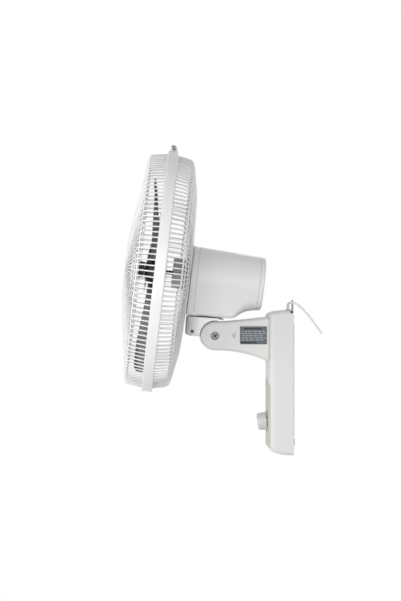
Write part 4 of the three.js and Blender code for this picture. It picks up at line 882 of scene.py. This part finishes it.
# %% [markdown]
# ## Column
#
# The column is a tall moulded box with generous corners, and its front edge runs over in a round.
# It is a loft of rounded rectangles from the front back to the wall, open behind. The control
# panel lies in a shallow field on the lower front that wraps a little round both sides.

# %% Column shell
COLUMN_FRONT, COLUMN_BACK = -48.3, -2.5
COLUMN_HALF, COLUMN_TOP, COLUMN_CORNER, COLUMN_FILLET, COLUMN_WALL = 48.0, 132.5, 9.0, 10.0, 3.2
TOP_RISE, TOP_RUN, FOOT_RISE, FOOT_RUN = 10.0, 31.0, 16.6, 40.0
HOOK_HOLE = (-6.0, 129.4)


def rectangle(half_u, half_v, corner, steps=8):
    """A rounded rectangle round the middle, as (u, v) points."""
    return rounded(box(half_u, -half_u, half_v, -half_v), corner, steps)


def round_over(depth, rise, run):
    """How far an elliptical round is drawn in at a depth behind its start."""
    ahead = max(0, 1 - depth / run)
    return rise * (1 - math.sqrt(1 - ahead ** 2))


def column_rings(margin, back):
    """Outlines of the column from its front face, over its long end rounds, and straight back."""
    side, foot = max(COLUMN_FILLET - margin, 2), FOOT_RUN - margin
    depths = [side * (1 - math.cos(math.pi * k / 16)) for k in range(9)]
    depths += [side + (foot - side) * k / 12 for k in range(1, 13)]
    rings = []
    for depth, y in [(d, COLUMN_FRONT + margin + d) for d in depths] + [(foot, back)]:
        half = COLUMN_HALF - margin - round_over(depth, side, side)
        top = COLUMN_TOP - margin - round_over(depth, TOP_RISE - margin, TOP_RUN - margin)
        low = -COLUMN_TOP + margin + round_over(depth, FOOT_RISE - margin, foot)
        corner = max(COLUMN_CORNER - COLUMN_HALF + half, 1)
        section = rectangle(half, (top - low) / 2, corner)
        rings.append([(x, y, z + (top + low) / 2) for x, z in section])
    return rings


def panel_field(margin):
    """The arched outline of the control panel, grown by a margin."""
    half, top, low = 45.5 + margin, -5.7 + margin, -118.6 - margin
    arch = [(half * (1 - k / 20), top + 12.9 * (1 - (1 - k / 20) ** 2)) for k in range(41)]
    return [(-half, low), (half, low), *arch]


column = lofted("column_case", column_rings(0, COLUMN_BACK), FAN)
cut(column, lofted("cutter", column_rings(COLUMN_WALL, 5), FAN))
field = prism("field", panel_field(0.45), COLUMN_FRONT - 5, COLUMN_FRONT + 10, "Y", FAN, 0)
cut(field, lofted("cutter", column_rings(2.1, 5), FAN))
cut(column, field)
drill(column, 4.6, (0, 0), -10, 20, "Y", KNOB, 48)
drill(column, 5.5, CORD_ROUTE[0][:2], 124, 137, "Z", FAN)
drill(column, 2.4, HOOK_HOLE, 24, 50, "X", FAN, 32)
cut(column, prism("cutter", box(-14, 14, 73.6, 97.6), COLUMN_FRONT - 1, COLUMN_FRONT + 8, "Y",
                  FAN, 0))
dress(column, "column_satin", "base")
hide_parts("column_shell")
print("column:", len(column.data.polygons), "faces")

# %% Control panel and knob
panel = lofted("panel_skin", column_rings(0, COLUMN_BACK), FAN)
cut(panel, lofted("cutter", column_rings(1.5, 5), FAN))
field = prism("field", panel_field(0), COLUMN_FRONT - 5, COLUMN_FRONT + 10, "Y", FAN, 0)
cut(panel, field, "INTERSECT")
drill(panel, 20, (0, KNOB_HEIGHT), COLUMN_FRONT - 5, COLUMN_FRONT + 0.8, "Y", FAN, 72)
drill(panel, 4.2, (0, 0), -10, 12, "Y", KNOB, 48)
panel.data.set_sharp_from_angle(angle=math.radians(28))
dress(panel, "panel_greige", "base")
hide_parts("control_panel")

knob_profile = [(0.01, -17.8), (12.6, -17.8), (14, -17.6), (14.9, -17.1), (15.4, -16.2),
                (16.2, -6.2), (16.4, -5.8), (17, -5.4), (17, -2.6), (16.6, -2.2), (0.01, -2.2)]
knob = turned("speed_dial", knob_profile, KNOB, 96)
for k in range(24):
    angle = 2 * math.pi * (k + 0.5) / 24
    drill(knob, 0.6, (16.3 * math.cos(angle), 16.3 * math.sin(angle)), -15.2, -6.6, "Y", KNOB, 10)
drill(knob, 3.3, (0, 0), -11.9, 0, "Y", KNOB, 48)
pointer = prism("dial_pointer", rounded(box(-0.8, 0.8, 4, 12.9), 0.7),
                -18.4, -17.7, "Y", KNOB, 0.2)
dress(knob, "knob_satin", "knob")
dress(pointer, "black_gloss", "knob")
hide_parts("speed_knob")
print("panel and knob:", len(panel.data.polygons), len(knob.data.polygons), "faces")

# %% [markdown]
# ## Arm, neck and bolt
#
# The arm stands out of the column, tapers forward and ends in two round cheeks. The neck hangs
# between them on a bolt. Both are lofts, so the run from a tall root to a round cheek is smooth.

# %% Arm
CHEEK, ARM_HALF, ROOT_HALF, ARM_REACH = 26.5, 33.0, 45.0, 97.1
ROOT_TOP, ROOT_BOTTOM, FLARE_START, RISE_START = 120, 38.7, 30, 20


def arm_section(behind, margin):
    """Half width, bottom and top of the arm at a distance behind the tilt bolt."""
    if behind < 0:
        half = math.sqrt(max((CHEEK - margin) ** 2 - behind ** 2, 1))
        return ARM_HALF - margin, -half, half
    flare = max(0, (behind - FLARE_START) / (ARM_REACH - FLARE_START))
    rise = max(0, (behind - RISE_START) / (ARM_REACH - RISE_START))
    top = CHEEK + (ROOT_TOP - PIVOT_HEIGHT - CHEEK) * rise
    bottom = -CHEEK - (PIVOT_HEIGHT - ROOT_BOTTOM - CHEEK) * (behind / ARM_REACH) ** 2.2
    return ARM_HALF + (ROOT_HALF - ARM_HALF) * flare - margin, bottom + margin, top - margin


def arm_loft(name, places, margin):
    """The arm's skin through its sections at some places, drawn in by a margin."""
    rings = []
    for behind in places:
        half, bottom, top = arm_section(behind, margin)
        corner = max(min(6 - margin, (top - bottom) / 2 - 0.1), 0.6)
        line = rectangle(half, (top - bottom) / 2, corner, 6)
        middle = PIVOT_HEIGHT + (top + bottom) / 2
        rings.append([(x, behind - PIVOT_REACH, z + middle) for x, z in line])
    return lofted(name, rings, FAN)


nose = [-CHEEK * math.sin(math.radians(v)) for v in (88, 82, 75, 67, 60, 52, 45, 37, 30, 22, 15, 8)]
arm_piece = arm_loft("forked_arm", nose + [ARM_REACH * k / 24 for k in range(25)], 0)
cut(arm_piece, arm_loft("cutter", [40, 50, 60, 75, 88, 98.1], 3))
cut(arm_piece, prism("cutter", box(-20.3, 20.3, 45, 126), -175, -121.7, "Y", FAN, 0))
drill(arm_piece, 7, (0, PIVOT_HEIGHT), -124, -103.7, "Y", FAN)
for radius, low, high, fine in ((7.6, 28.4, 34.5, 48), (8.2, -34.5, -28.4, 48), (4.3, -34, 34, 40)):
    drill(arm_piece, radius, (-PIVOT_REACH, PIVOT_HEIGHT), low, high, "X", FAN, fine)
dress(arm_piece, "arm_satin", "base")
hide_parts("arm")
rim = [(7.6, 33.0), (8.6, 33.0), (8.8, 33.25), (8.5, 33.6), (7.8, 33.6), (7.6, 33.3)]
rim_rings = [[(x, r * u - PIVOT_REACH, r * v + PIVOT_HEIGHT) for r, x in rim]
             for u, v in arc(1, 64)]
bolt_rim = lofted("bolt_rim", rim_rings, FAN, closed=True)
dress(bolt_rim, "arm_satin", "base")
print("arm:", len(arm_piece.data.polygons), "faces")

# %% Neck
DECK, NECK_FRONT_CORNER, TONGUE_HALF = 35.0, 7.0, 18.7
SET_SCREW = (-42.3, 5.3)


def neck_outline(inset, limit):
    """The plan of the neck: an arc about the swing axis, cut straight at both sides."""
    line = []
    for k in range(49):
        angle = math.pi + math.pi * k / 48
        x = max(-limit, min(limit, (DECK - inset) * math.cos(angle)))
        line.append((x, (DECK - inset) * math.sin(angle) - SWING_AHEAD))
    return line + [(limit, 4), (-limit, 4)]


def neck_rings():
    """Plans stacked from the rounded bottom edge up to the deck."""
    rings = []
    for k in range(8):
        angle = math.pi / 2 * k / 7
        inset = NECK_FRONT_CORNER * (1 - math.sin(angle))
        height = -3 + NECK_FRONT_CORNER * (1 - math.cos(angle))
        rings.append([(x, y, height) for x, y in neck_outline(inset, 33 - 0.35 * inset)])
    return rings + [[(x, y, z) for x, y in neck_outline(inset, 33 - 0.3 * inset)]
                    for z, inset in ((DECK_TOP - 0.8, 0), (DECK_TOP - 0.3, 0.2), (DECK_TOP, 0.8))]


neck = lofted("neck_casting", neck_rings(), NECK)
for side in (-1, 1):
    low, high = sorted((side * TONGUE_HALF, side * 40))
    drill(neck, 28.4, (0, 0), low, high, "X", NECK, 96)
cut(neck, rod("tongue", 22, (0, 0), -TONGUE_HALF, TONGUE_HALF, "X", NECK, 96, 0.5), "UNION")
cut(neck, rod("deck", DECK, (0, -SWING_AHEAD), 30.2, DECK_TOP, "Z", NECK, 96, 0.3), "UNION")
for radius, centre, low, high, axis, fine in (
        (4.3, (0, 0), -50, 50, "X", 40), (6.3, (0, -SWING_AHEAD), 12.1, 33.4, "Z", 40),
        (2.2, (-20, -SWING_AHEAD), 24.1, 33.4, "Z", 24), (3.3, SET_SCREW, 22.6, 38, "X", 40),
        (1.9, SET_SCREW, 9.6, 33, "X", 24)):
    drill(neck, radius, centre, low, high, axis, NECK, fine)
# The neck's lighter finish is painted light for the shade of the cage in front of it.
dress(neck, "neck_satin_painted_light", "neck")
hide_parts("neck_bracket")
print("neck:", len(neck.data.polygons), "faces")

# %% [markdown]
# ## Plates
#
# A pressed steel plate carries the column, and its ear stands above it with a hanging hole. The
# rating plate on the arm is satin foil, with rows of plain bars that stand a hair proud of it.

# %% Mounting plate and rating plate
EAR_HEIGHT = 141.4
ear = arc(11, 24, math.pi, (0, EAR_HEIGHT))
plate_outline = [(-28, -100), (28, -100), (30, -98), (30, 101), (29.4, 102.6), (20.8, 111.3),
                 (19.6, 113), *ear, (-19.6, 113), (-20.8, 111.3), (-29.4, 102.6), (-30, 101),
                 (-30, -98)]
plate = prism("wall_plate", plate_outline, -2.2, 0, "Y", FAN, 0.3)
for radius, x, z in ((3.5, 0, EAR_HEIGHT), (3.5, 0, -82), (4.5, 0, -52), (4.5, 0, 52)):
    drill(plate, radius, (x, z), -5, 3, "Y", FAN, 48)
dress(plate, "hanger_steel", "base")
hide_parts("mounting_plate")

FOIL_LONG, FOIL_TALL = 49.4, 32.7
start = ARM_REACH - 2 - FOIL_LONG
lean = math.atan((ROOT_HALF - ARM_HALF) / (ARM_REACH - FLARE_START))
low = max(PIVOT_HEIGHT + 1.4 - FOIL_TALL / 2, PIVOT_HEIGHT + arm_section(start, 0)[1] + 10)
PLATE = Matrix.Translation(Vector((arm_section(start, 0)[0] + 0.3, start - PIVOT_REACH, low)) * MM)
PLATE = PLATE @ Matrix.Rotation(-lean, 4, "Z")
foil = prism("rating_foil", rounded(box(0, FOIL_LONG, 0, FOIL_TALL), 1.5), 0, 0.5, "X", PLATE, 0.1)
dress(foil, "satin_foil", "base")
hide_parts("rating_plate")
bars = [(7, 26.9, 33, 3.0, "foil_print"), (1.6, 1.6, 29, 3.0, "foil_print")]
for row in range(5):
    across = 2.4 + row * 7 % 3
    while across < 44:
        long = 2.0 + (across * 13.7 + row * 5.3) % 4.2
        bars.append((across, 6.9 + 3.9 * row, min(long, 47 - across), 1.9, "foil_pale"))
        across += long + 1.9
for number, (across, up, long, tall, print_finish) in enumerate(bars, start=1):
    bar = prism(f"foil_line_{number}", box(across, across + long, up, up + tall), 0.48, 0.56,
                "X", PLATE, 0.02)
    dress(bar, print_finish, "base")
print("plates done")

# %% [markdown]
# ## Small things
#
# What makes a part look real is small: the cross in the bolt, with painted shade at its bottom,
# moulded marks, painted shade in two dimples of the neck, the bent clip of the guard ring's
# screw, a greige strip of painted shade beside the arm's root, and painted shade in the window of
# the wall hook.

# %% Bolt head, marks, clip, painted shade beside the arm's root and in the hook window
SIDEWAYS = Matrix.Rotation(math.pi / 2, 4, "Z")
bolt = turned("bolt_dome", [
    (0.01, -3.1), (3.2, -3.0), (5.2, -2.5), (6.2, -1.7), (6.6, -0.9), (6.6, 0), (4, 0), (4, 59.8),
    (0.01, 59.8)], frame_at(FAN, (29.5, -PIVOT_REACH, PIVOT_HEIGHT), 0) @ SIDEWAYS, 72)
for turn in (35, 125):
    turned_place = frame_at(FAN, PIVOT, turn)
    groove = rounded(box(-5.2, 5.2, -1.2, 1.2), 0.6)
    cut(bolt, prism("cutter", groove, 31.0, 34, "X", turned_place, 0))
    # A thin dark cross at the bottom of each groove is painted shade of the deep recess.
    shade_cross_outline = rounded(box(-5, 5, -1.05, 1.05), 0.5)
    bottom = prism(f"bolt_cross_shade_{turn}", shade_cross_outline, 30.9, 31.1, "X", turned_place, 0)
    dress(bottom, "recess_shadow", "base")
dress(bolt, "bolt_grey", "base")
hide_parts("tilt_bolt")

MARKS = frame_at(FAN, (ARM_HALF, -115.7, PIVOT_HEIGHT), 0) @ Matrix.Rotation(-lean, 4, "Z")
strokes = ((0.2, -1.6, 3.4), (-0.6, 0.6, 3.6), (0.4, 2.8, 3.0))
for number, (y, z, long) in enumerate(strokes, start=1):
    mark = prism(f"lock_mark_{number}", box(y, y + long, z, z + 1.1), -0.2, 0.12, "X", MARKS, 0.04)
    dress(mark, "mark_grey", "base")
slant = [(4.6, -5.0), (5.9, -5.0), (7.8, 7.0), (6.5, 7.0)]
tick = prism("lock_tick", slant, -0.2, 0.14, "X", MARKS, 0.04)
dress(tick, "mark_grey", "base")

# Two dark rods flush with the neck's side are painted shade in its two small dimples.
for number, (y, z) in enumerate(((-44.6, -1.1), (-40.0, -0.9)), start=1):
    dot = rod(f"neck_dimple_shade_{number}", 1.25, (y, z), 9, 22.6, "X", NECK, 24, 0.1)
    dress(dot, "recess_shadow", "neck")

clip_place = frame_at(HEAD, (0, 0, CLAMP_HEIGHT), 0)
clip = swept("screw_clip", [(5.9, 2.4, 1.2), (5.9, 1.2, 3.6), (5.9, -1.4, 4.6), (5.9, -4.0, 4.2),
                            (5.9, -5.6, 2.2)],
             arc(0.7, 12), clip_place)
dress(clip, "dark_screw", "head")

# Greige wedges in the column's front round beside the arm's root are painted shade of that corner.
for number, side in enumerate((-1, 1), start=1):
    wedge = [(side * 38.3, -48.55), (side * 44.8, -48.55), (side * 44.8, -45.6)]
    arm_root_shade = prism(f"root_shade_strip_{number}", wedge, 39.6, 119.2, "Z", FAN, 0.1)
    dress(arm_root_shade, "panel_greige", "base")
# A dark rod filling the hook's hole is painted shade inside the column's wall.
hook_shade = rod("hook_window_shade", 2.35, HOOK_HOLE, 26, 38.6, "X", FAN, 32, 0)
dress(hook_shade, "recess_shadow", "base")
print("small things:", bolt.name, clip.name, hook_shade.name)

# %% [markdown]
# ## Light and surroundings
#
# Soft studio light from the camera's side keeps the white mouldings readable: the world glows a
# little more from below than from above, and three wide lamps add a gentle direction. Rays that
# reach the camera or a reflection straight from the world see plain white. The floor lies below
# the picture and fades out at its edge.

# %% World, lamps and floor
GLOW_BELOW, GLOW_ABOVE = 0.74, 0.40
world = bpy.data.worlds.new("studio")
scene.world = world
world.use_nodes = True
sky = world.node_tree
sky.nodes.clear()
direction = node(sky, "ShaderNodeTexCoord").outputs["Generated"]
height = node(sky, "ShaderNodeSeparateXYZ", [("Vector", direction)]).outputs["Z"]
glow = node(sky, "ShaderNodeMapRange", [("Value", height), ("From Min", -1.0), ("From Max", 1.0),
                                        ("To Min", GLOW_BELOW), ("To Max", GLOW_ABOVE)])
level = node(sky, "ShaderNodeBackground", [("Color", (1, 1, 1, 1)), ("Strength", glow.outputs[0])])
shown = node(sky, "ShaderNodeBackground", [("Color", (1, 1, 1, 1)), ("Strength", 1.0)])
path = node(sky, "ShaderNodeLightPath")
seen = maths(sky, "MAXIMUM", path.outputs["Is Camera Ray"], path.outputs["Is Glossy Ray"])
seen = maths(sky, "MAXIMUM", seen, path.outputs["Is Transmission Ray"])
mixed = node(sky, "ShaderNodeMixShader", [(0, seen), (1, level.outputs[0]), (2, shown.outputs[0])])
node(sky, "ShaderNodeOutputWorld", [("Surface", mixed.outputs[0])])


def lamp(name, size, power, place, target):
    """A wide square area lamp aimed at a point."""
    data = bpy.data.lights.new(name, "AREA")
    data.size, data.energy = size, power
    made = bpy.data.objects.new(name, data)
    made.location = place
    made.rotation_euler = (Vector(target) - Vector(place)).to_track_quat("-Z", "Y").to_euler()
    scene.collection.objects.link(made)


lamp("camera_side_lamp", 1.6, 22, (2.4, -0.6, 0.15), (0, -0.17, 0.15))
lamp("front_lamp", 1.4, 26, (1.3, -2.2, 0.2), (0, -0.2, 0.15))
lamp("far_side_lamp", 1.6, 9, (-2.0, 0.9, 0.8), (0, -0.17, 0.15))

FLOOR_SIZE, FLOOR_LEVEL, FAN_MIDDLE = 1.0, -0.62, -0.17
floor_mesh = bpy.data.meshes.new("floor")
edge = [(x, y, FLOOR_LEVEL) for x, y in arc(FLOOR_SIZE, 64, centre=(0, FAN_MIDDLE))]
floor_mesh.from_pydata(edge, [], [tuple(range(64))])
floor = bpy.data.objects.new("floor", floor_mesh)
scene.collection.objects.link(floor)
paving = bpy.data.materials.new("pale_floor")
paving.use_nodes = True
tree = paving.node_tree
shader = tree.nodes["Principled BSDF"]
shader.inputs["Base Color"].default_value = (0.9, 0.9, 0.9, 1)
shader.inputs["Roughness"].default_value = 0.8
place = node(tree, "ShaderNodeTexCoord").outputs["Object"]
away = node(tree, "ShaderNodeVectorMath", [(0, place), (1, (0, FAN_MIDDLE, FLOOR_LEVEL))],
            operation="DISTANCE")
fade = node(tree, "ShaderNodeMapRange", [("Value", away.outputs["Value"]), ("From Min", 0.45),
                                         ("From Max", 0.98), ("To Min", 1.0), ("To Max", 0.0)])
tree.links.new(fade.outputs["Result"], shader.inputs["Alpha"])
floor_mesh.materials.append(paving)
print("world", GLOW_BELOW, "below to", GLOW_ABOVE, "above, three lamps, floor at", FLOOR_LEVEL, "m")
